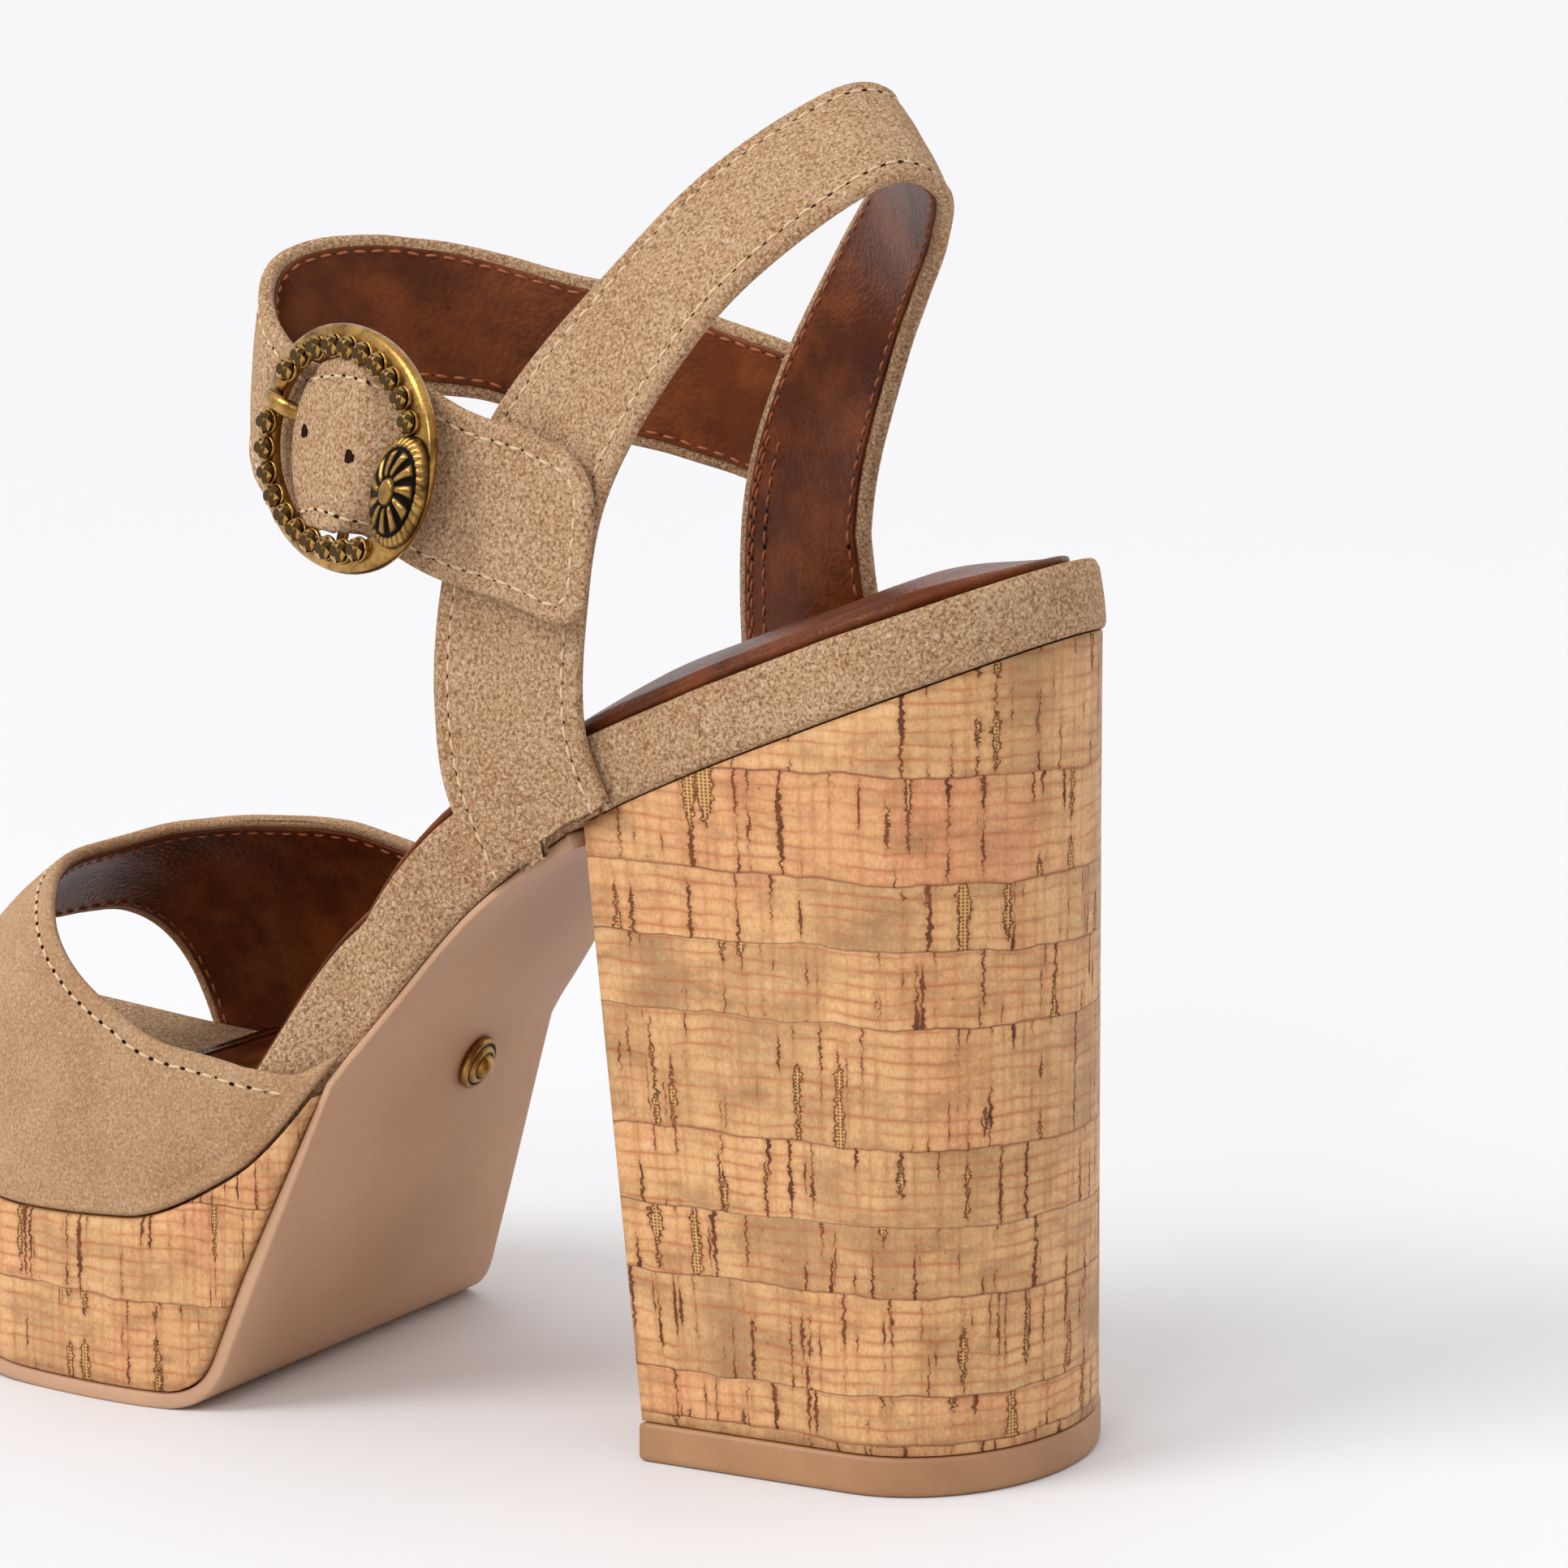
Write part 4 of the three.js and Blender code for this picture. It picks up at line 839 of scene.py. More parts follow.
sock_stations = rounded_stations(HEEL_END, SOCK_END)
rings = [(edge_pairs(sock_stations, SOCK_INSET + 0.3, SOCK_LEAN), sock_height(-0.1))]
rings.append((edge_pairs(sock_stations, SOCK_INSET, SOCK_LEAN), sock_height(0.25)))
rings.append((edge_pairs(sock_stations, SOCK_INSET, SOCK_LEAN), sock_height(0.5)))
for angle in np.radians([30, 60, 90]):
    inset = SOCK_INSET + 1.2 * (1 - math.cos(angle))
    rings.append((
        edge_pairs(sock_stations, inset, SOCK_LEAN),
        sock_height(0.5 + 0.5 * math.sin(angle), 1 if angle > 1.5 else 0.3),
    ))
points, faces, around = plate(rings, 36)
insole = add_mesh("insole_sock", points, faces, [LINING], ["insole"])

# Outsole: hugs the waist, drops to the floor and lifts at the toe
OUTSOLE_START = HEEL_TOP_DEPTH + 1
WAIST_END = 0.507 * SHOE_LENGTH
FLOOR_START = 0.597 * SHOE_LENGTH
FLOOR_BEND = 8


def outsole_profile():
    waist_y = np.linspace(OUTSOLE_START, WAIST_END, 50)
    waist_z = underside(waist_y) - GAP - outsole_thickness(waist_y) * np.hypot(1, bed_slope(waist_y))
    start = np.array([waist_y[-1], waist_z[-1]])
    slope = start[1] / (FLOOR_START - start[0])
    size = math.hypot(1, slope)
    corner = np.array([FLOOR_START - FLOOR_BEND / size, FLOOR_BEND * slope / size])
    turn = np.array([FLOOR_START, 0])
    flat = np.array([FLOOR_START + FLOOR_BEND, 0])
    straight = [start + (corner - start) * t for t in np.linspace(0, 1, 14)[1:]]
    bend = [corner * (1 - t) ** 2 + turn * 2 * t * (1 - t) + flat * t**2 for t in np.linspace(0, 1, 14)[1:]]
    floor_y = np.linspace(flat[0], TOE_END, 70)[1:]
    floor = np.stack([floor_y, toe_lift(floor_y)], 1)
    return np.concatenate([np.stack([waist_y, waist_z], 1), straight, bend, floor])


profile = outsole_profile()
profile_along = unit(np.gradient(profile, axis=0))
profile_normal = np.stack([-profile_along[:, 1], profile_along[:, 0]], 1)
thickness = outsole_thickness(profile[:, 0])


def outsole_line(inset, share):
    """Both edges of the outsole at a share of its thickness."""
    y = np.clip(profile[:, 0], HEEL_END, TOE_END)
    pairs = outline_pairs(y, inset)
    return pairs[..., 0], profile + profile_normal * (thickness * share)[:, None]


def outsole_rings():
    """Rings across the underside, up one edge, back over the top and down the other edge."""
    edge = [(1.3, 0.0), (0.75, 0.04), (0.6, 0.2), (0.6, 0.8), (0.75, 0.96), (1.3, 1.0)]
    lines = [outsole_line(inset, share) for inset, share in edge]
    columns = np.linspace(0, 1, 25)

    def across(line, share):
        sides, height = line
        return np.column_stack([sides[:, 0] * (1 - share) + sides[:, 1] * share, height])

    ring = [across(lines[0], share) for share in columns]
    ring += [across(line, 1) for line in lines[1:-1]]
    ring += [across(lines[-1], share) for share in columns[::-1]]
    ring += [across(line, 0) for line in lines[1:-1][::-1]]
    return np.stack(ring, 1)


rows = outsole_rings()
faces = tube_faces(len(rows), rows.shape[1], False)
add_mesh("outsole_leather", rows, faces, [SOLE_TAN], ["outsole"])

# Cork platform between the outsole and the footbed
upper_line = profile + profile_normal * (thickness + GAP)[:, None]


def outsole_top(y):
    return np.interp(y, upper_line[:, 0], upper_line[:, 1])


room = np.linspace(WAIST_END, FLOOR_START, 400)
platform_start = room[np.argmax(underside(room) - GAP - outsole_top(room) > 1)]
platform_stations = np.concatenate([
    np.linspace(platform_start, FLOOR_START + 8, 16),
    rounded_stations(FLOOR_START + 8, TOE_END)[1:],
])


def platform_height(share):
    def height(x, y):
        low = outsole_top(y)
        return low + (underside(y) - GAP - low) * share
    return height


# Inset and share of the height of each ring
PLATFORM_RINGS = (
    (0.8, 0), (0.2, 0.02), (0.1, 0.1), (0.1, 0.3), (0.1, 0.5), (0.1, 0.7), (0.1, 0.9), (0.2, 0.98), (0.8, 1),
)
rings = [
    (outline_pairs(platform_stations, inset), platform_height(share))
    for inset, share in PLATFORM_RINGS
]
points, faces, around = plate(rings, 12)
platform = add_mesh("platform_cork", points, faces, [PLATFORM_CORK], ["platform"])
chart_around(platform, around)


# Cork heel, narrowing towards the floor, and the lift under it
HEEL_TURN = 0.4


def heel_stations():
    turn = np.radians(np.linspace(3, 90, 24))
    return np.concatenate([HEEL_TURN * (1 - np.cos(turn)), np.linspace(HEEL_TURN, 1, 24)[1:]])


def heel_tip_pairs(inset):
    share = heel_stations()
    depth = np.clip(1 - share / HEEL_TURN, 0, 1)
    half = (HEEL_TIP_WIDTH / 2 - inset) * np.sqrt(1 - depth**2)
    y = inset + share * (HEEL_TIP_DEPTH - 2 * inset)
    return np.stack([np.stack([-half, y], 1), np.stack([half, y], 1)], 1)


heel_low = heel_tip_pairs(0.3)
heel_high = outline_pairs(heel_stations() * HEEL_TOP_DEPTH, HEEL_INSET)
low_z = TOP_LIFT_THICKNESS + GAP


def heel_ring(share):
    pairs = heel_low * (1 - share) + heel_high * share

    def height(x, y):
        top_y = heel_high[:, :, 1].mean(1)
        own_y = pairs[:, :, 1].mean(1)
        top = underside(np.interp(y, own_y, top_y)) - GAP
        return low_z * (1 - share) + top * share

    return pairs, height


rings = [heel_ring(share) for share in np.linspace(0, 1, 40)]
points, faces, around = plate(rings, 12, seam_at_front=True)
heel = add_mesh("heel_cork", points, faces, [HEEL_CORK], ["heel"])
chart_around(heel, around)

rings = [
    (heel_tip_pairs(inset), lambda x, y, z=z: np.full_like(x, z))
    for inset, z in [(1.0, 0), (0.35, 0.2), (0.05, 0.7), (0, 1.2), (0, 5.2), (0.1, 5.8), (0.5, 6.0)]
]
points, faces, around = plate(rings, 12)
add_mesh("heel_lift", points, faces, [TIP_TAN], ["top_lift"])


# Sheets of leather with rounded edges

def edge_distance(points):
    """Distance of each point of a grid to the grid's border."""
    border = np.concatenate([points[0], points[:, -1], points[-1][::-1], points[::-1, 0]])
    steps = np.concatenate([
        border[:-1] + (border[1:] - border[:-1]) * t for t in (0, 0.25, 0.5, 0.75)
    ])
    tree = KDTree(len(steps))
    for k, p in enumerate(steps):
        tree.insert(p, k)
    tree.balance()
    found = np.array([tree.find(p)[2] for p in points.reshape(-1, 3)])
    return found.reshape(points.shape[:2])


def rim_spread(length, step, rim=(0, 0.12, 0.35, 0.7, 1.2, 1.9, 2.7)):
    """Distances across a sheet, close together at both edges."""
    rim = np.array(rim)
    count = max(3, int((length - 2 * rim[-1]) / step))
    middle = np.linspace(rim[-1], length - rim[-1], count)[1:-1]
    return np.concatenate([rim, middle, (length - rim)[::-1]])


class Sheet:
    """A piece of the upper. surface(u, v) is its outer face, and heart(points) lies behind that face."""

    def __init__(self, surface, wall, heart):
        self.surface = surface
        self.wall = wall
        self.heart = heart

    def at(self, u, v):
        """Points of the outer face and the directions that face away from the foot."""
        u = np.asarray(u, float)
        v = np.asarray(v, float)
        points = self.surface(u, v)
        step = 1e-3
        du = self.surface(u + step, v) - self.surface(u - step, v)
        dv = self.surface(u, v + step) - self.surface(u, v - step)
        normal = unit(np.cross(du, dv))
        facing = ((points - self.heart(points)) * normal).sum(-1, keepdims=True)
        return points, np.where(facing < 0, -normal, normal)

    def body(self, u, v, high=0.0, low=None, radius=None, shape=None):
        """A closed skin from high to low, both measured outwards from the outer face."""
        low = -self.wall if low is None else low
        radius = radius or (high - low) / 2
        points, normal = self.at(u, v)
        edge = edge_distance(points)
        near = np.clip(1 - edge / radius, 0, 1)
        sunk = radius * (1 - np.sqrt(np.clip(1 - near**2, 0, 1)))
        moved = shape(edge, u, v) if shape else 0 * edge
        moved = moved * (1 - near)
        top = points + normal * (high + moved - sunk)[..., None]
        bottom = points + normal * (low + sunk)[..., None]
        rows, columns = edge.shape
        numbers = np.arange(rows * columns).reshape(rows, columns)
        border = np.zeros((rows, columns), bool)
        border[[0, -1]] = True
        border[:, [0, -1]] = True
        top = np.where(border[..., None], (top + bottom) / 2, top)
        inside = np.full((rows, columns), -1)
        inside[border] = numbers[border]
        inside[~border] = np.arange(int((~border).sum())) + rows * columns
        faces = np.concatenate([grid_faces(numbers), grid_faces(inside, flip=True)])
        return np.concatenate([top.reshape(-1, 3), bottom[~border]]), faces


def creases(rows):
    """Soft troughs. Each row is two ends (along, across), then depth and half width, in millimetres."""
    def relief(along, across):
        total = 0 * along
        for a0, x0, a1, x1, depth, width in rows:
            line = np.array([a1 - a0, x1 - x0])
            size = (line**2).sum()
            t = np.clip(((along - a0) * line[0] + (across - x0) * line[1]) / size, 0, 1)
            d2 = (along - a0 - t * line[0]) ** 2 + (across - x0 - t * line[1]) ** 2
            fade = np.sin(math.pi * np.clip(t, 0.04, 0.96)) ** 0.5
            total = total - depth * fade * np.exp(-d2 / width**2)
        return total
    return relief


def width_line(lean, tuck):
    lean, tuck = np.radians(lean), np.radians(tuck)
    return np.stack([
        np.sin(tuck) + 0 * lean,
        np.cos(tuck) * np.cos(lean),
        np.cos(tuck) * np.sin(lean),
    ], -1)


HALF_ANKLE = ANKLE_WIDTH / 2
HUG_START = 3
HUG_EASE = 12


def sling_surface(place, across):
    """Outer face of the sling strap; across is millimetres from its middle line."""
    row = blend(SLING, place)
    y = row[..., 1] * SHOE_LENGTH
    centre = np.stack([row[..., 0] * HALF_ANKLE, y, bed(y) + row[..., 2] * SLING_RISE], -1)
    p = centre + width_line(row[..., 3], row[..., 4]) * np.asarray(across)[..., None]
    return hug_footbed(p)


def hug_footbed(p):
    """Lays the low end of a strap flat against the footbed's side."""
    x, y, z = p[..., 0], p[..., 1], p[..., 2]
    outer, inner = outline(y)
    reach = STRAP_WALL + GAP
    hold = np.clip(1 - (z - footbed_top(x, y) - HUG_START) / HUG_EASE, 0, 1)
    proud = np.where(x < 0, np.minimum(x, outer - reach), np.maximum(x, inner + reach))
    return np.stack([x + (proud - x) * hold, y, np.maximum(z, underside(y))], -1)


def ankle_centre(place):
    row = blend(ANKLE, place)
    y = row[..., 1] * SHOE_LENGTH
    out = np.sign(row[..., 0]) * np.clip(row[..., 4], 0, 1) * (STRAP_WALL + GAP)
    return np.stack([row[..., 0] * HALF_ANKLE + out, y, bed(y) + row[..., 2] * ANKLE_RISE], -1)


def length_table(centre, last, count=600):
    """Places along a strap and the distance of each from its start."""
    places = np.linspace(0, last, count)
    points = centre(places)
    steps = np.linalg.norm(np.diff(points, axis=0), axis=1)
    return places, np.concatenate([[0], np.cumsum(steps)])


ankle_places, ankle_lengths = length_table(ankle_centre, len(ANKLE) - 1)
sling_places, sling_lengths = length_table(lambda p: sling_surface(p, 0 * p), len(SLING) - 1)

# The buckle's own frame: x towards the strap's free end, y across the strap, z away from the leg
towards_end = unit(ankle_centre(np.array(BUCKLE_PLACE - 0.4)) - ankle_centre(np.array(BUCKLE_PLACE + 0.4)))
across_strap = width_line(blend(ANKLE, BUCKLE_PLACE)[3], np.array(0.0))
away = unit(np.cross(towards_end, across_strap))
if away[0] > 0:
    away = -away
up_strap = unit(np.cross(away, towards_end))
buckle_centre = ankle_centre(np.array(BUCKLE_PLACE)) - up_strap * BUCKLE_DROP
tilt = math.radians(BUCKLE_TILT)
buckle_x = towards_end * math.cos(tilt) + np.cross(away, towards_end) * math.sin(tilt)
buckle_y = up_strap * math.cos(tilt) + np.cross(away, up_strap) * math.sin(tilt)
buckle_axes = np.stack([buckle_x, buckle_y, away], 1)


def on_buckle(points):
    """Points in the buckle's frame, placed on the shoe."""
    return np.asarray(points, float) @ buckle_axes.T + buckle_centre


def in_buckle(points):
    return (points - buckle_centre) @ buckle_axes


BAR_DEPTH = -1.0
HUMP_FRONT = 0.39 * BUCKLE_WIDTH
HUMP_BACK = 0.29 * BUCKLE_WIDTH
HUMP_HALF_WIDTH = 0.368 * BUCKLE_HEIGHT
HUMP_CROWN = 0.45
HUMP_FRONT_CROWN = 0.68
HUMP_SPREAD = 0.05
HUMP_HEIGHT = BAR_DEPTH + BAR_RADIUS + CHAPE_WALL + 2 * GAP + STRAP_WALL


def ankle_surface(place, across):
    """Outer face of the ankle strap, which rises over the buckle's bar."""
    row = blend(ANKLE, place)
    p = ankle_centre(place) + width_line(row[..., 3], 0 * row[..., 3]) * np.asarray(across)[..., None]
    local = in_buckle(p)
    beside = np.clip(np.abs(local[..., 1]) / HUMP_HALF_WIDTH, 0, 0.98)
    reach = np.where(local[..., 0] < 0, HUMP_FRONT, HUMP_BACK) * np.sqrt(1 - beside**2)
    crown = np.where(local[..., 0] < 0, HUMP_FRONT_CROWN, HUMP_CROWN)
    share = np.clip((np.abs(local[..., 0]) / reach - crown) / (1 - crown), 0, 1)
    near = np.where(p[..., 0] < 0, np.cos(share * math.pi / 2) ** 2, 0)
    fuller = buckle_y * (local[..., 1] * HUMP_SPREAD * near)[..., None]
    return p + away * (HUMP_HEIGHT * near)[..., None] + fuller


def vamp_surface(place, share):
    """Outer face of the toe piece; share runs from the throat to the toes."""
    edge = blend(VAMP_EDGES, place)
    y = (edge[..., 1] * (1 - share) + edge[..., 2] * share) * SHOE_LENGTH
    outer, inner = outline(y)
    middle = CREST_SIDE * BALL_WIDTH
    angle = np.radians(np.clip(edge[..., 0], 0, 180))
    power = 2 / CREST_POWER
    across = np.sign(np.cos(angle)) * np.abs(np.cos(angle)) ** power
    height = np.maximum(0, np.sin(angle)) ** power
    x = np.where(across > 0, middle - (middle - outer) * across, middle - (inner - middle) * across)
    return np.stack([x, y, bed(y) + crest_at(y / SHOE_LENGTH) * TOE_BOX_HEIGHT * height], -1)


def leg_axis(share):
    def heart(points):
        return np.stack([0 * points[..., 0], 0 * points[..., 0] + share * SHOE_LENGTH, points[..., 2]], -1)
    return heart


def vamp_heart(points):
    y = points[..., 1]
    return np.stack([0 * y + CREST_SIDE * BALL_WIDTH, y, bed(y)], -1)


def strap_grid(lengths, places, width_at, step=1.2, inset=0.0):
    """Grids of place and of millimetres across, for a strap or for a lining set in from its edges."""
    along = rim_spread(lengths[-1] - 2 * inset, step) + inset
    u = np.interp(along, lengths, places)
    width = width_at(along - inset) - 2 * inset
    whole = STRAP_WIDTH - 2 * inset
    across = rim_spread(whole, 1.0)
    rim = np.minimum(across, whole - across)
    side = np.sign(across - whole / 2)
    near = 2.8
    rows = [
        side * np.where(rim < near, w / 2 - rim, (whole / 2 - rim) * (w / 2 - near) / (whole / 2 - near))
        for w in width
    ]
    v = np.array(rows)
    return np.repeat(u[:, None], v.shape[1], 1), v


def full_width(along):
    return np.full_like(along, STRAP_WIDTH)


def ended_width(along):
    short = np.clip(STRAP_END_RADIUS - along, 0, STRAP_END_RADIUS)
    corner = STRAP_END_RADIUS - np.sqrt(STRAP_END_RADIUS**2 - short**2)
    return STRAP_WIDTH - 2 * corner


# Stitches

STITCH_INSET = 2.9
STITCH_PITCH = 2.9
STITCH_LENGTH = 2.1
STITCH_RADIUS = 0.27
STITCH_SLANT = 0.10
STITCH_DIP = 0.22
STITCH_SIDES = 6
STITCH_STEPS = (-1, -0.9, -0.55, 0, 0.55, 0.9, 1)
NEEDLE_HOLE = (0.50, 0.36)
GROOVE = 0.34
GROOVE_HALF = 0.6
CROWN = 0.28
CROWN_EASE = 5
VAMP_GROOVE = 0.26
LINING_STITCH_SINK = 0.08
LINING_INSET = 1.9
LINING_WALL = 0.5
LINING_SINK = 0.2
LINING_EDGE = 0.3


def groove_and_crown(edge):
    """A groove along the stitches and a slight crown in the middle."""
    groove = -GROOVE * np.exp(-(((edge - STITCH_INSET) / GROOVE_HALF) ** 2))
    return groove + CROWN * np.clip((edge - STITCH_INSET) / CROWN_EASE, 0, 1)


def along_line(points, normals, pitch, start=0.0):
    """Evenly spaced places on a line: middle, direction and normal of each."""
    steps = np.linalg.norm(np.diff(points, axis=0), axis=1)
    walked = np.concatenate([[0], np.cumsum(steps)])
    count = int((walked[-1] - start) / pitch)
    middles = start + (np.arange(count) + 0.5) * pitch

    def read(values, at):
        return np.stack([np.interp(at, walked, values[:, k]) for k in range(3)], 1)

    middle = read(points, middles)
    direction = unit(read(points, middles + 0.6) - read(points, middles - 0.6))
    return middle, direction, unit(read(normals, middles))


class Stitches:
    """Gathers stitches and the needle holes between them, drawn as dark discs of painted shade, and makes one
    mesh of each.
    """

    def __init__(self):
        self.thread = []
        self.holes = []

    def row(self, points, normals, sink, start=0.0, pitch=STITCH_PITCH, length=STITCH_LENGTH):
        middle, direction, normal = along_line(points, normals, pitch, start)
        side = np.cross(direction, normal)
        lift = STITCH_RADIUS * 0.6 - sink
        turn = np.linspace(0, 2 * math.pi, STITCH_SIDES, endpoint=False)
        for m, d, n, s in zip(middle, direction, normal, side):
            along = d + s * (STITCH_SLANT * math.sin(2.3 * (len(self.thread) + 1)))
            rings = []
            for t in STITCH_STEPS:
                size = STITCH_RADIUS * math.sqrt(max(0.03, 1 - abs(t) ** 2.6))
                centre = m + along * (t * length / 2) + n * (lift - STITCH_DIP * t * t)
                rings.append([centre + s * (size * math.cos(a)) + n * (size * math.sin(a)) for a in turn])
            self.thread.append(np.array(rings).reshape(-1, 3))
            # Needle hole: a dark disc of painted shade between two stitches
            spot = m + d * (pitch / 2) + n * (0.05 - sink)
            long, wide = NEEDLE_HOLE
            ring = [spot + d * (long * math.cos(a)) + s * (wide * math.sin(a)) for a in turn]
            self.holes.append(np.array([spot + n * 0.06, *ring]))

    def build(self, name, material):
        count = len(self.thread)
        rings = len(STITCH_STEPS)
        tubes = repeated(tube_faces(rings, STITCH_SIDES, False), rings * STITCH_SIDES, count)
        fans = repeated(fan_faces(STITCH_SIDES), STITCH_SIDES + 1, count)
        add_mesh(name, np.concatenate(self.thread), tubes, [material])
        add_mesh(name + "_holes", np.concatenate(self.holes), fans, [PAINTED_HOLE_SHADE])


def face_line(sheet, u, v, out):
    """A line on a sheet, at a height above its outer face."""
    points, normals = sheet.at(u, v)
    return points + normals * out, normals


def inner_line(sheet, u, v):
    """The same line on the lining, facing the foot."""
    points, normals = sheet.at(u, v)
    return points - normals * (sheet.wall + LINING_WALL), -normals


# Sling strap
SLING_CREASES = creases([
    (118, -9, 124, 8, 0.45, 1.3),
    (131, -8, 134, 9, 0.35, 1.2),
    (178, -8, 186, 9, 0.40, 1.5),
    (190, -9, 197, 8, 0.30, 1.3),
])
SLING_LINING_CREASES = creases([
    (204, -9, 211, -1, 0.22, 0.7),
    (209, -8, 219, 4, 0.26, 0.8),
    (215, -4, 224, 7, 0.22, 0.7),
    (221, 0, 229, 9, 0.20, 0.7),
    (238, -4, 245, 6, 0.25, 1.2),
    (266, -8, 271, 4, 0.35, 1.8),
    (274, -2, 278, 9, 0.30, 1.6),
])


def sling_along(u):
    return np.interp(u, sling_places, sling_lengths)


def sling_shape(edge, u, v):
    return groove_and_crown(edge) + SLING_CREASES(sling_along(u), v)


def sling_lining_shape(edge, u, v):
    return np.maximum(SLING_LINING_CREASES(sling_along(u), v), -0.4) * np.clip(edge / 2, 0, 1)


def behind(sheet):
    """The inner face of a sheet, as a sheet of lining that faces the foot."""
    def surface(u, v):
        points, normals = sheet.at(u, v)
        return points - normals * sheet.wall

    def heart(points):
        middle = sheet.heart(points)
        return points + (points - middle)

    return Sheet(surface, LINING_WALL, heart)


def add_lining(name, sheet, u, v, shape=None):
    backing = behind(sheet)
    points, faces = backing.body(u, v, LINING_WALL, -LINING_SINK, LINING_EDGE, shape)
    add_mesh(name, points, faces, [LINING])


sling = Sheet(sling_surface, STRAP_WALL, leg_axis(0.34))
u, v = strap_grid(sling_lengths, sling_places, full_width)
points, faces = sling.body(u, v, shape=sling_shape)
add_mesh("sling_suede", points, faces, [SUEDE], ["sling_strap"])
u, v = strap_grid(sling_lengths, sling_places, full_width, inset=LINING_INSET)
add_lining("sling_lining", sling, u, v, sling_lining_shape)

suede_stitches = Stitches()
lining_stitches = Stitches()
line_u = np.linspace(0.12, len(SLING) - 1.12, 900)
for side in (-1, 1):
    line_v = np.full_like(line_u, side * (STRAP_WIDTH / 2 - STITCH_INSET))
    suede_stitches.row(*face_line(sling, line_u, line_v, 0), GROOVE)
    lining_stitches.row(*inner_line(sling, line_u, line_v), LINING_STITCH_SINK)

# A box of stitches on the sling's lining holds the ankle strap
BOX_ALONG = (212, 262)
BOX_ACROSS = (STRAP_WIDTH / 2 - 3.6, STRAP_WIDTH / 2 - 6.0)
for across in BOX_ACROSS:
    line_u = np.interp(np.linspace(*BOX_ALONG, 200), sling_lengths, sling_places)
    lining_stitches.row(*inner_line(sling, line_u, np.full_like(line_u, across)), LINING_STITCH_SINK)

# Ankle strap
ANKLE_CREASES = creases([
    (70, -9, 73, 9, 0.30, 1.6),
    (92, -8, 90, 9, 0.30, 1.8),
])


def ankle_shape(edge, u, v):
    along = np.interp(u, ankle_places, ankle_lengths)
    return groove_and_crown(edge) + ANKLE_CREASES(along, v)


ankle = Sheet(ankle_surface, STRAP_WALL, leg_axis(0.44))
u, v = strap_grid(ankle_lengths, ankle_places, ended_width, step=1.1)
points, faces = ankle.body(u, v, shape=ankle_shape)
add_mesh("ankle_suede", points, faces, [SUEDE], ["ankle_strap"])
u, v = strap_grid(ankle_lengths, ankle_places, ended_width, step=1.1, inset=LINING_INSET)
add_lining("ankle_lining", ankle, u, v)


def end_loop(inset, lengths):
    """Along and across of a line that runs down one edge, round the free end and back up the other."""
    radius = STRAP_END_RADIUS - inset
    half = STRAP_WIDTH / 2 - inset
    last = lengths[-1] - inset
    side = np.linspace(last, STRAP_END_RADIUS, 500)
    turn = np.linspace(0, math.pi / 2, 20)
    corner_along = STRAP_END_RADIUS - radius * np.sin(turn)
    corner_across = half - radius + radius * np.cos(turn)
    across = np.concatenate([np.full_like(side, half), corner_across])
    along = np.concatenate([side, corner_along])
    return np.concatenate([along, along[::-1]]), np.concatenate([across, -across[::-1]])


line_along, line_v = end_loop(STITCH_INSET, ankle_lengths)
line_u = np.interp(line_along, ankle_lengths, ankle_places)
suede_stitches.row(*face_line(ankle, line_u, line_v, 0), GROOVE)
lining_stitches.row(*inner_line(ankle, line_u, line_v), LINING_STITCH_SINK)

# Toe piece
vamp = Sheet(vamp_surface, UPPER_WALL, vamp_heart)
VAMP_DEEP = 50
vamp_places = np.linspace(0.0, len(VAMP_EDGES) - 1, 210)


def vamp_grid(inset):
    """Rows of shares, from throat to toes, whose ends are this far from the toe piece's edges."""
    u, share = np.meshgrid(vamp_places, np.linspace(0, 1, 60), indexing="ij")
    edge = edge_distance(vamp_surface(u, share))
    half = 30
    rows = []
    for row, own in zip(edge, share):
        low, high = 0.0, 1.0
        if inset:
            low = np.interp(inset, row[:half], own[:half])
            high = np.interp(inset, row[:half - 1:-1], own[:half - 1:-1])
        rows.append(rim_spread((high - low) * VAMP_DEEP, 1.1) / VAMP_DEEP + low)
    return rows


def even_rows(rows, count=58):
    """Rows of equal count that keep their close spacing at the ends."""
    result = []
    for row in rows:
        rim = 6
        middle = np.linspace(row[rim], row[-rim - 1], count - 2 * rim)
        result.append(np.concatenate([row[:rim], middle, row[-rim:]]))
    return np.array(result)


def vamp_shape(edge, u, v):
    throat = np.clip(1 - v * 2.2, 0, 1) * np.clip(np.minimum(u, len(VAMP_EDGES) - 1 - u) / 1.5, 0, 1)
    return -VAMP_GROOVE * np.exp(-(((edge - STITCH_INSET) / 0.55) ** 2)) * (throat > 0.02)


v = even_rows(vamp_grid(0))
u = np.repeat(vamp_places[:, None], v.shape[1], 1)
points, faces = vamp.body(u, v, shape=vamp_shape)
add_mesh("vamp_suede", points, faces, [SMOOTH_SUEDE], ["vamp"])
lining_places = (vamp_places > 0.25) & (vamp_places < len(VAMP_EDGES) - 1.25)
v = even_rows(vamp_grid(1.6))[lining_places]
u = np.repeat(vamp_places[lining_places][:, None], v.shape[1], 1)
add_lining("vamp_lining", vamp, u, v)

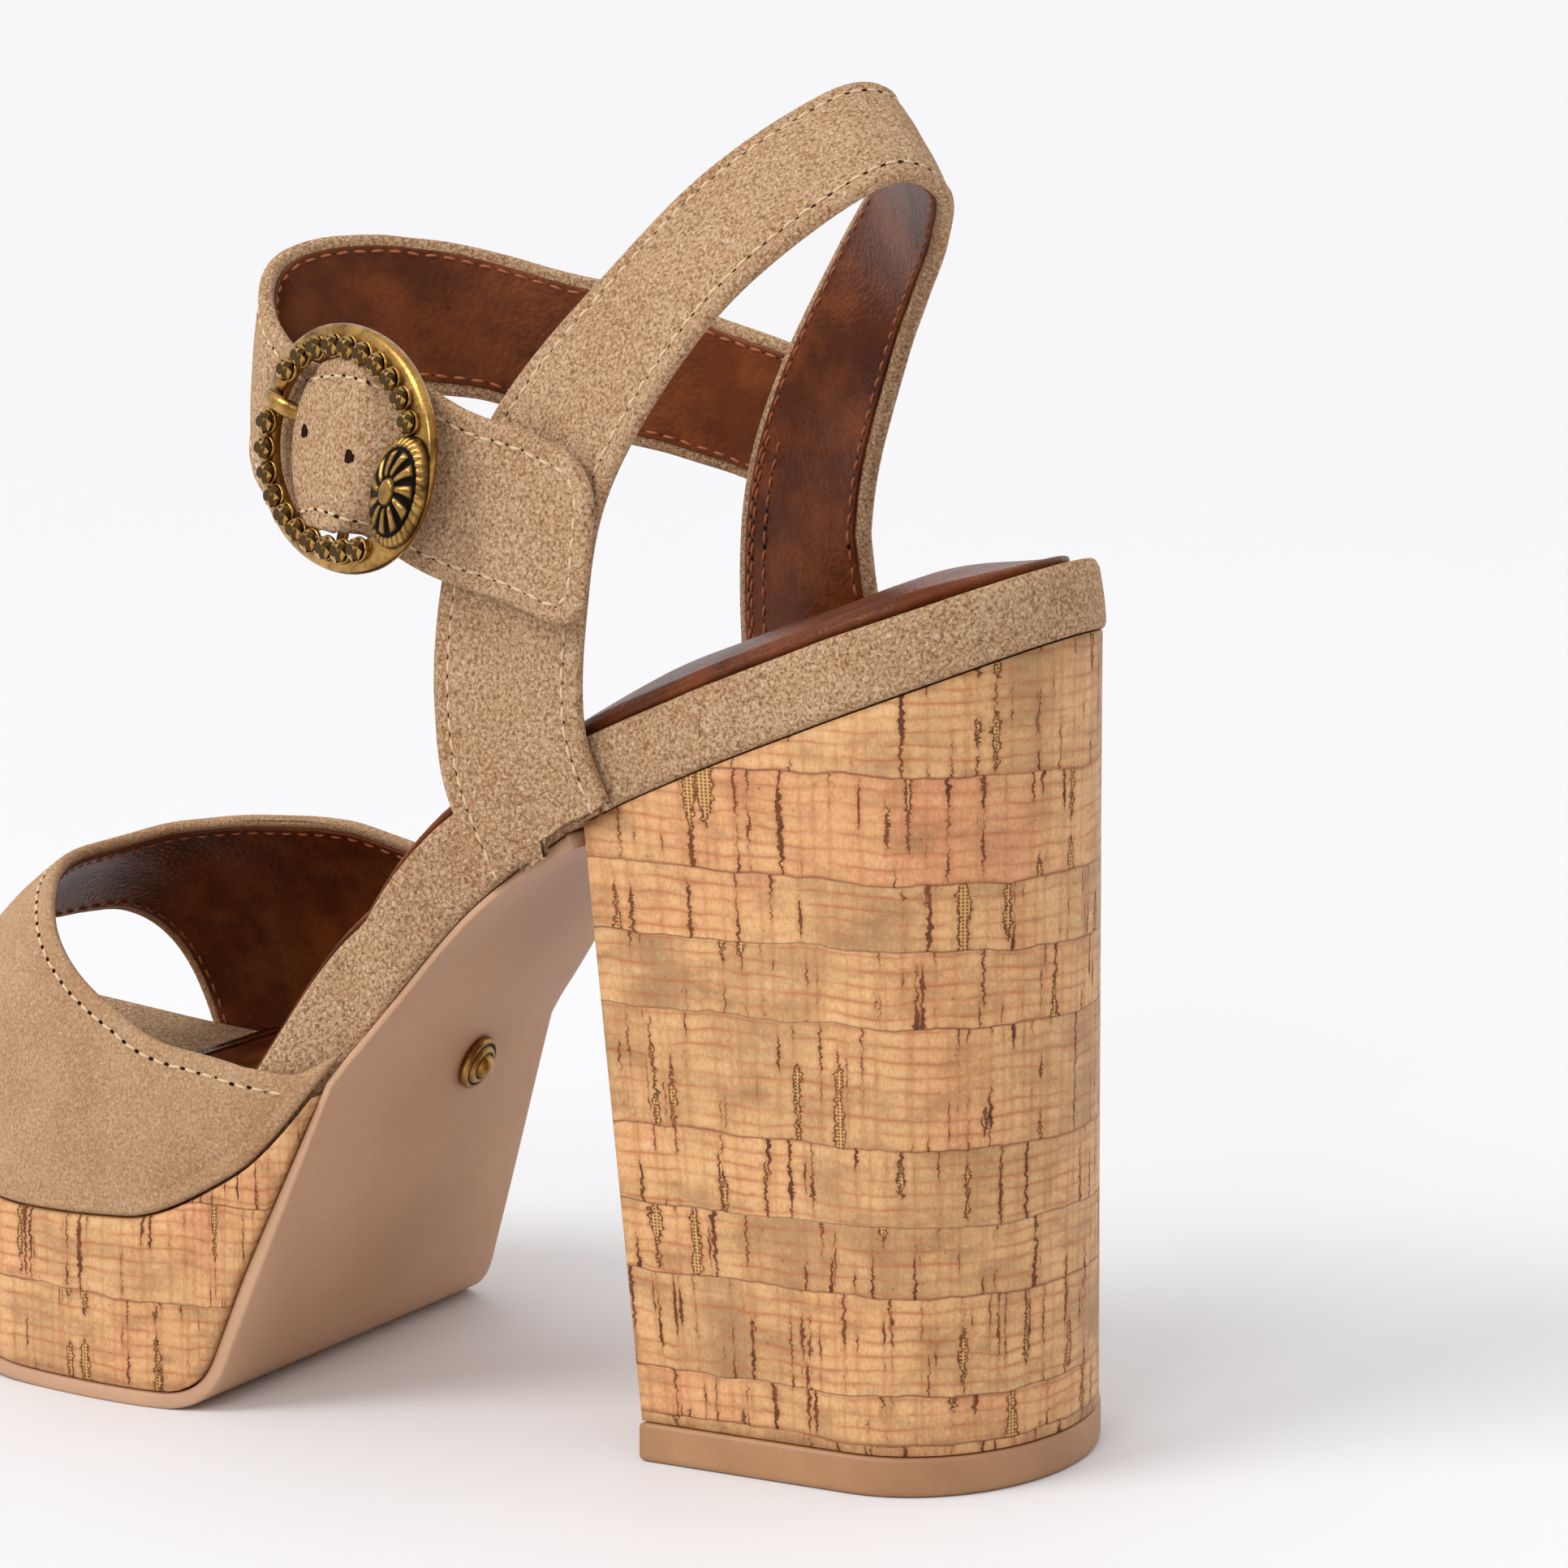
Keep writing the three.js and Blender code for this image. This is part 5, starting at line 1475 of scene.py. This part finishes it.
fine_places = np.linspace(0.0, len(VAMP_EDGES) - 1, 400)
whole_u, whole_share = np.meshgrid(fine_places, np.linspace(0, 1, 120), indexing="ij")
edge = edge_distance(vamp_surface(whole_u, whole_share))
throat_row = np.array([
    np.interp(STITCH_INSET, edge[k, :60], whole_share[k, :60]) for k in range(len(fine_places))
])
toe_row = np.array([
    np.interp(STITCH_INSET, edge[k, :59:-1], whole_share[k, :59:-1]) for k in range(len(fine_places))
])
kept = (fine_places > 0.85) & (fine_places < len(VAMP_EDGES) - 1.4)
for line in (throat_row, toe_row):
    suede_stitches.row(*face_line(vamp, fine_places[kept], line[kept], 0), VAMP_GROOVE)
    lining_stitches.row(*inner_line(vamp, fine_places[kept], line[kept]), LINING_STITCH_SINK)

suede_stitches.build("stitches", THREAD)
lining_stitches.build("lining_stitches", BROWN_THREAD)


# Buckle
RAIL_POWER = 2.1


def rail_width(angle):
    return RAIL_WIDTH + (BROAD_RAIL_WIDTH - RAIL_WIDTH) * np.maximum(0, np.cos(angle)) ** 2


def rail_point(angle, outward, depth):
    """A point of the frame's rail, from its inner edge at -1 outward to its outer edge at 1."""
    power = 2 / RAIL_POWER
    x = np.sign(np.cos(angle)) * np.abs(np.cos(angle)) ** power
    y = np.sign(np.sin(angle)) * np.abs(np.sin(angle)) ** power
    half = rail_width(angle) / 2
    reach_x = BUCKLE_WIDTH / 2 - half + outward * half
    reach_y = BUCKLE_HEIGHT / 2 - half + outward * half
    return np.stack(np.broadcast_arrays(x * reach_x, y * reach_y, depth), -1)


RAIL_TOP = GAP + RAIL_THICKNESS
RAIL_MIDDLE = GAP + RAIL_THICKNESS / 2
PRONG_NOTCH = math.radians(171)
NOTCH_DEPTH = 1.0


def boxy(value, power=0.72):
    return np.sign(value) * np.abs(value) ** power


angles = np.linspace(0, 2 * math.pi, 240, endpoint=False)
turns = np.linspace(0, 2 * math.pi, 20, endpoint=False)
grid_angle, grid_turn = np.meshgrid(angles, turns, indexing="ij")
height = RAIL_MIDDLE + boxy(np.sin(grid_turn)) * RAIL_THICKNESS / 2
notch = np.exp(-(((grid_angle - PRONG_NOTCH) / math.radians(6)) ** 2))
height = height - NOTCH_DEPTH * notch * np.clip(np.sin(grid_turn), 0, 1)
rail = rail_point(grid_angle, boxy(np.cos(grid_turn), 0.85), height)
faces = tube_faces(len(angles), len(turns), True)
add_mesh("buckle_rail", on_buckle(rail), faces, [OLD_GOLD], ["buckle_frame"])

# Bar and its posts, under the strap
bar_end = BUCKLE_HEIGHT / 2 - RAIL_WIDTH / 2
bar_turn = np.linspace(0, 2 * math.pi, 16, endpoint=False)
bar = np.array([
    [(BAR_RADIUS * math.cos(t), y, depth + BAR_RADIUS * math.sin(t)) for t in bar_turn]
    for y, depth in [
        (-bar_end, RAIL_MIDDLE),
        (-bar_end + 0.4, BAR_DEPTH + 0.4),
        (-bar_end + 1.4, BAR_DEPTH),
        (bar_end - 1.4, BAR_DEPTH),
        (bar_end - 0.4, BAR_DEPTH + 0.4),
        (bar_end, RAIL_MIDDLE),
    ]
])
add_mesh("buckle_bar", on_buckle(bar), tube_faces(6, 16, False), [OLD_GOLD])

# Prong: a short flattened bar from the strap to the notch
PRONG_LINE = np.array([
    (-11.0, 1.9, 1.2), (-12.4, 2.1, 2.6), (-14.2, 2.4, 3.5), (-17.0, 2.6, 3.7),
    (-19.2, 2.8, 3.3), (-20.6, 2.9, 2.8),
])
PRONG_SIZES = (1.1, 1.3, 1.35, 1.35, 1.25, 0.7)
prong_side = np.array((0.08, 0.997, 0.0))
prong_up = np.array((0.15, 0.0, 0.99))
prong = np.array([
    [
        p + size * (prong_side * boxy(math.cos(t), 0.8) + prong_up * (0.75 * boxy(math.sin(t), 0.8)))
        for t in bar_turn
    ]
    for p, size in zip(PRONG_LINE, PRONG_SIZES)
])
add_mesh("buckle_pin", on_buckle(prong), tube_faces(6, 16, False), [OLD_GOLD], ["buckle_prong"])

# Cut stones in low settings
PRONG_ROOM = (156, 183)
BOSS_ROOM = (-46, 32)
STONE_PITCH = 3.85


def stone_seats():
    """Seats walked round the frame, clear of the prong and the ornament."""
    seats = []
    for degrees in np.arange(0, 360, 0.5):
        turn = (degrees + 180) % 360 - 180
        if BOSS_ROOM[0] < turn < BOSS_ROOM[1] or PRONG_ROOM[0] < degrees < PRONG_ROOM[1]:
            continue
        angle = math.radians(degrees)
        seat = rail_point(angle, 1 - 2 * STONE_INSET / rail_width(angle), RAIL_TOP + GAP)
        if all(np.linalg.norm(seat - other) > STONE_PITCH for other in seats):
            seats.append(seat)
    return seats[:STONE_COUNT]


def cut_stone(seat, turn):
    """A stone with a table, two rows of facets and a girdle; its facets take the dark colour or a lit copy of
    it, and those turned one way take a painted glint, as painted reflections.
    """
    half = STONE_WIDTH / 2
    rings = [(0.72, 0.0, 0.0), (1.0, 0.30, 0.0), (1.0, 0.42, 0.0), (0.80, 0.74, 0.5), (0.50, 1.0, 0.0)]
    points = []
    for radius, level, shift in rings:
        for k in range(8):
            angle = turn + (k + shift) * math.pi / 4
            points.append(seat + np.array([
                radius * half * math.cos(angle), radius * half * math.sin(angle), level * STONE_HEIGHT,
            ]))
    faces = [list(range(8))[::-1], list(range(32, 40))]
    facet_lighting = [0, 0]
    for k in range(8):
        n = (k + 1) % 8
        low = math.degrees(turn + (k + 0.5) * math.pi / 4) % 360
        # Facets turned this way get the painted glint
        bright = abs(low - 255) < 30
        faces.extend([(k, n, 8 + n, 8 + k), (8 + k, 8 + n, 16 + n, 16 + k)])
        faces.extend([(16 + k, 16 + n, 24 + k), (24 + k, 32 + n, 32 + k), (16 + n, 24 + n, 24 + k)])
        faces.append((24 + k, 24 + n, 32 + n))
        # Other facets alternate between the dark colour and its lit copy, as painted reflections
        facet_lighting.extend([0, 0, 2 if bright else k % 2, 2 if bright else (k + 1) % 2, k % 2, 1 if bright else 0])
    return points, faces, facet_lighting


SETTING_STEPS = (20, 6)
setting_turns = [np.linspace(0, 2 * math.pi, count, endpoint=False) for count in SETTING_STEPS]
stone_points, stone_facet_lighting, ring_points = [], [], []
seats = stone_seats()
for k, seat in enumerate(seats):
    points, facets, facet_lighting = cut_stone(seat, 0.12 * math.sin(2.1 * k))
    stone_points.extend(points)
    stone_facet_lighting.extend(facet_lighting)
    for a in setting_turns[0]:
        for t in setting_turns[1]:
            reach = STONE_WIDTH / 2 - 0.12 + 0.28 * math.cos(t)
            depth = -0.15 + 0.40 * math.sin(t)
            ring_points.append(seat + np.array([reach * math.cos(a), reach * math.sin(a), depth]))
add_mesh(
    "cut_stones", on_buckle(stone_points), repeated(facets, len(points), len(seats)),
    [STONE_DARK, STONE_LIT_COPY, STONE_PAINTED_GLINT],
    [name for name in nodes if name.startswith("stone_")], smooth=False, face_slots=stone_facet_lighting,
)
ring_faces = repeated(tube_faces(*SETTING_STEPS, True), math.prod(SETTING_STEPS), len(seats))
add_mesh("stone_settings", on_buckle(ring_points), ring_faces, [OLD_GOLD])


# Ornament: a domed oval with a rope border, flutes and a plain cap

def shade_recesses(obj, values):
    """Marks how deep in a recess each point lies; the gold is darkened there as painted shade, together with
    its patina.
    """
    shaded = obj.data.attributes.new("recess", "FLOAT", "POINT")
    shaded.data.foreach_set("value", np.asarray(values, np.float32))


BOSS_TURN = math.radians(-8)
BOSS_TILT = math.radians(-9)
boss_place = rail_point(BOSS_TURN, -0.3, RAIL_TOP + GAP)
ROPE_START = 0.80
CAP_END = 0.26
FLUTES = 11
FLUTE_HEIGHT = 0.36
ROPE_STRANDS = 17
ROPE_HEIGHT = 0.30
GROOVE_DEPTH = 0.42
CAP_HEIGHT = 0.5


def boss_relief(share, angle):
    """Height above the dome at a share of the way out, in millimetres."""
    flutes = FLUTE_HEIGHT * np.cos(FLUTES * angle + 4.0 * share)
    flutes = flutes * np.clip((share - CAP_END) / 0.12, 0, 1)
    flutes = flutes * np.clip((ROPE_START - 0.04 - share) / 0.08, 0, 1)
    rope = ROPE_HEIGHT * np.abs(np.sin(ROPE_STRANDS * angle + 9 * share))
    rope = rope * np.clip((share - ROPE_START) / 0.03, 0, 1) * np.clip((1 - share) / 0.06, 0, 1)
    groove = -GROOVE_DEPTH * np.exp(-(((share - ROPE_START + 0.03) / 0.025) ** 2))
    collar = -GROOVE_DEPTH * np.exp(-(((share - CAP_END) / 0.03) ** 2))
    cap = CAP_HEIGHT * np.sqrt(np.clip(1 - (share / CAP_END) ** 2, 0, 1))
    return flutes + rope + groove + collar + cap


boss_share = 1 - np.linspace(0, 1, 44)[:-1]
boss_angle = np.linspace(0, 2 * math.pi, 264, endpoint=False)
grid_share, grid_angle = np.meshgrid(boss_share, boss_angle, indexing="ij")
dome = (BOSS_HEIGHT - 0.6) * (1 - grid_share**2.6)
relief = boss_relief(grid_share, grid_angle)
depth = np.where(grid_share > 0.995, 0, 0.5 + dome + relief * 0.85)
across = BOSS_WIDTH / 2 * grid_share * np.cos(grid_angle)
along = BOSS_LENGTH / 2 * grid_share * np.sin(grid_angle)
boss_grid = np.stack([
    boss_place[0] + across * math.cos(BOSS_TILT) - along * math.sin(BOSS_TILT),
    boss_place[1] + across * math.sin(BOSS_TILT) + along * math.cos(BOSS_TILT),
    boss_place[2] + depth,
], -1)
faces = tube_faces(*grid_share.shape, False)
boss = add_mesh("fluted_boss", on_buckle(boss_grid), faces, [OLD_GOLD], ["buckle_boss"])
shade_recesses(boss, np.clip((0.20 - relief) / 0.26, 0, 1).ravel())

# Punched holes on the middle of the strap, drawn as dark discs of painted shade
HOLES = ((-8.6, 0.3), (3.9, -0.2))
HOLE_SIDES = 24
HOLE_RADIUS = 1.05
HOLE_LIFT = 0.30
fine_u, fine_v = np.meshgrid(np.linspace(2.2, 3.9, 170), np.linspace(-4, 4, 41), indexing="ij")
hole_points = []
strap_points, strap_normals = ankle.at(fine_u, fine_v)
flat_points = strap_points.reshape(-1, 3)
flat_normals = strap_normals.reshape(-1, 3)
local = in_buckle(flat_points)
for x, y in HOLES:
    nearest = np.argmin((local[:, 0] - x) ** 2 + (local[:, 1] - y) ** 2)
    middle, normal = flat_points[nearest], flat_normals[nearest]
    side = unit(np.cross(normal, (0, 0, 1)))
    up = np.cross(side, normal)
    centre = middle + normal * HOLE_LIFT
    hole_points.append(centre)
    for k in range(HOLE_SIDES):
        angle = 2 * math.pi * k / HOLE_SIDES
        reach = HOLE_RADIUS + 0.12 * math.sin(3 * angle + x) + 0.07 * math.sin(7 * angle)
        hole_points.append(centre + (side * math.cos(angle) + up * math.sin(angle)) * reach)
hole_faces = repeated(fan_faces(HOLE_SIDES), HOLE_SIDES + 1, len(HOLES))
add_mesh("strap_holes", np.array(hole_points), hole_faces, [PAINTED_HOLE_SHADE])

# Stud on the back of the platform: a dome in two rings
STUD_PLACE = np.array((9.9, 110.74, 48.0))
STUD_SLOPE = math.radians(-69.6)
STUD_SIDES = 40
# Share of the width, share of the height, and how much of a recess each ring is, which darkens the gold there
# as painted shade with patina
STUD_PROFILE = np.array([
    (0.5, 0.0, 0), (0.5, 0.22, 0), (0.47, 0.36, 0), (0.42, 0.42, 0.3), (0.40, 0.34, 1),
    (0.37, 0.34, 1), (0.35, 0.46, 0.2), (0.31, 0.56, 0), (0.27, 0.60, 0.3), (0.255, 0.50, 1),
    (0.23, 0.50, 1), (0.215, 0.66, 0.2), (0.17, 0.84, 0), (0.10, 0.96, 0), (0.02, 1.0, 0),
])
turn = np.linspace(0, 2 * math.pi, STUD_SIDES, endpoint=False)[None]
reach = STUD_WIDTH * STUD_PROFILE[:, :1]
x = reach * np.cos(turn)
y = reach * np.sin(turn)
z = -STUD_HEIGHT * STUD_PROFILE[:, 1:2] + 0 * turn
cosine, sine = math.cos(STUD_SLOPE), math.sin(STUD_SLOPE)
stud_points = np.stack([x, y * cosine - z * sine, y * sine + z * cosine], -1) + STUD_PLACE
faces = tube_faces(*x.shape, False)
stud = add_mesh("ringed_stud", stud_points, faces, [OLD_GOLD], ["sole_stud"])
shade_recesses(stud, np.repeat(STUD_PROFILE[:, 2], STUD_SIDES))

nodes["chape"].data.materials.clear()
nodes["chape"].data.materials.append(LINING)

# Camera, floor and light
CAMERA_PLACE = (-0.63783, -0.31857, 0.21031)
camera_data = bpy.data.cameras.new("camera")
camera_data.lens = 111.5
camera_data.sensor_width = 36
camera_data.clip_start = 0.01
camera_data.clip_end = 50
camera = in_scene("camera", camera_data)
forward = Vector((0.87244, 0.46427, -0.15264)).normalized()
upward = Vector((0.13360, 0.07386, 0.98828))
right = forward.cross(upward).normalized()
upward = right.cross(forward).normalized()
turned = Matrix((right, upward, -forward)).transposed().to_4x4()
camera.matrix_world = Matrix.Translation(CAMERA_PLACE) @ turned
bpy.context.scene.camera = camera

floor_mesh = bpy.data.meshes.new("floor")
floor_mesh.from_pydata(
    [(-20, -20, 0), (20, -20, 0), (20, 20, 0), (-20, 20, 0)], [], [(0, 1, 2, 3)],
)
floor = in_scene("floor", floor_mesh)
paper = Recipe("floor_paper")
paper.set(
    Base_Color=paper.mix(paper.noise(3, 2), (0.800, 0.798, 0.808, 1), (0.806, 0.804, 0.814, 1)),
    Roughness=0.9,
)
floor_mesh.materials.append(paper.material)

world = bpy.data.worlds.new("studio")
bpy.context.scene.world = world
world.use_nodes = True
sky = world.node_tree.nodes["Background"]
direction = world.node_tree.nodes.new("ShaderNodeTexCoord")
behind_camera = world.node_tree.nodes.new("ShaderNodeVectorMath")
behind_camera.operation = "DOT_PRODUCT"
behind_camera.inputs[1].default_value = (-0.88, -0.47, 0.0)
world.node_tree.links.new(direction.outputs["Generated"], behind_camera.inputs[0])
tones = world.node_tree.nodes.new("ShaderNodeValToRGB")
world.node_tree.links.new(behind_camera.outputs["Value"], tones.inputs["Fac"])
bright, dim = tones.color_ramp.elements
bright.position, bright.color = 0.15, (0.930, 0.930, 0.946, 1)
dim.position, dim.color = 0.75, (0.34, 0.34, 0.35, 1)
world.node_tree.links.new(tones.outputs["Color"], sky.inputs["Color"])
sky.inputs["Strength"].default_value = 1.0


def lamp(kind, name, place, target, power):
    """A lamp that shines from its place towards its target."""
    data = bpy.data.lights.new(name, kind)
    data.energy = power
    light = in_scene(name, data)
    light.location = place
    light.rotation_euler = (Vector(target) - Vector(place)).to_track_quat("-Z", "Y").to_euler()
    return data


lamp("SUN", "key", (-0.8, 0.6, 0.95), (0, 0, 0), 1.35).angle = math.radians(30)
lamp("SUN", "fill", (-0.75, -0.5, 1.1), (0, 0, 0), 0.25).angle = math.radians(50)
lamp("AREA", "glint", (-1.5, -0.1, 0.9), (0, 0.05, 0.12), 5).size = 0.5
bpy.context.scene.view_settings.view_transform = "Standard"
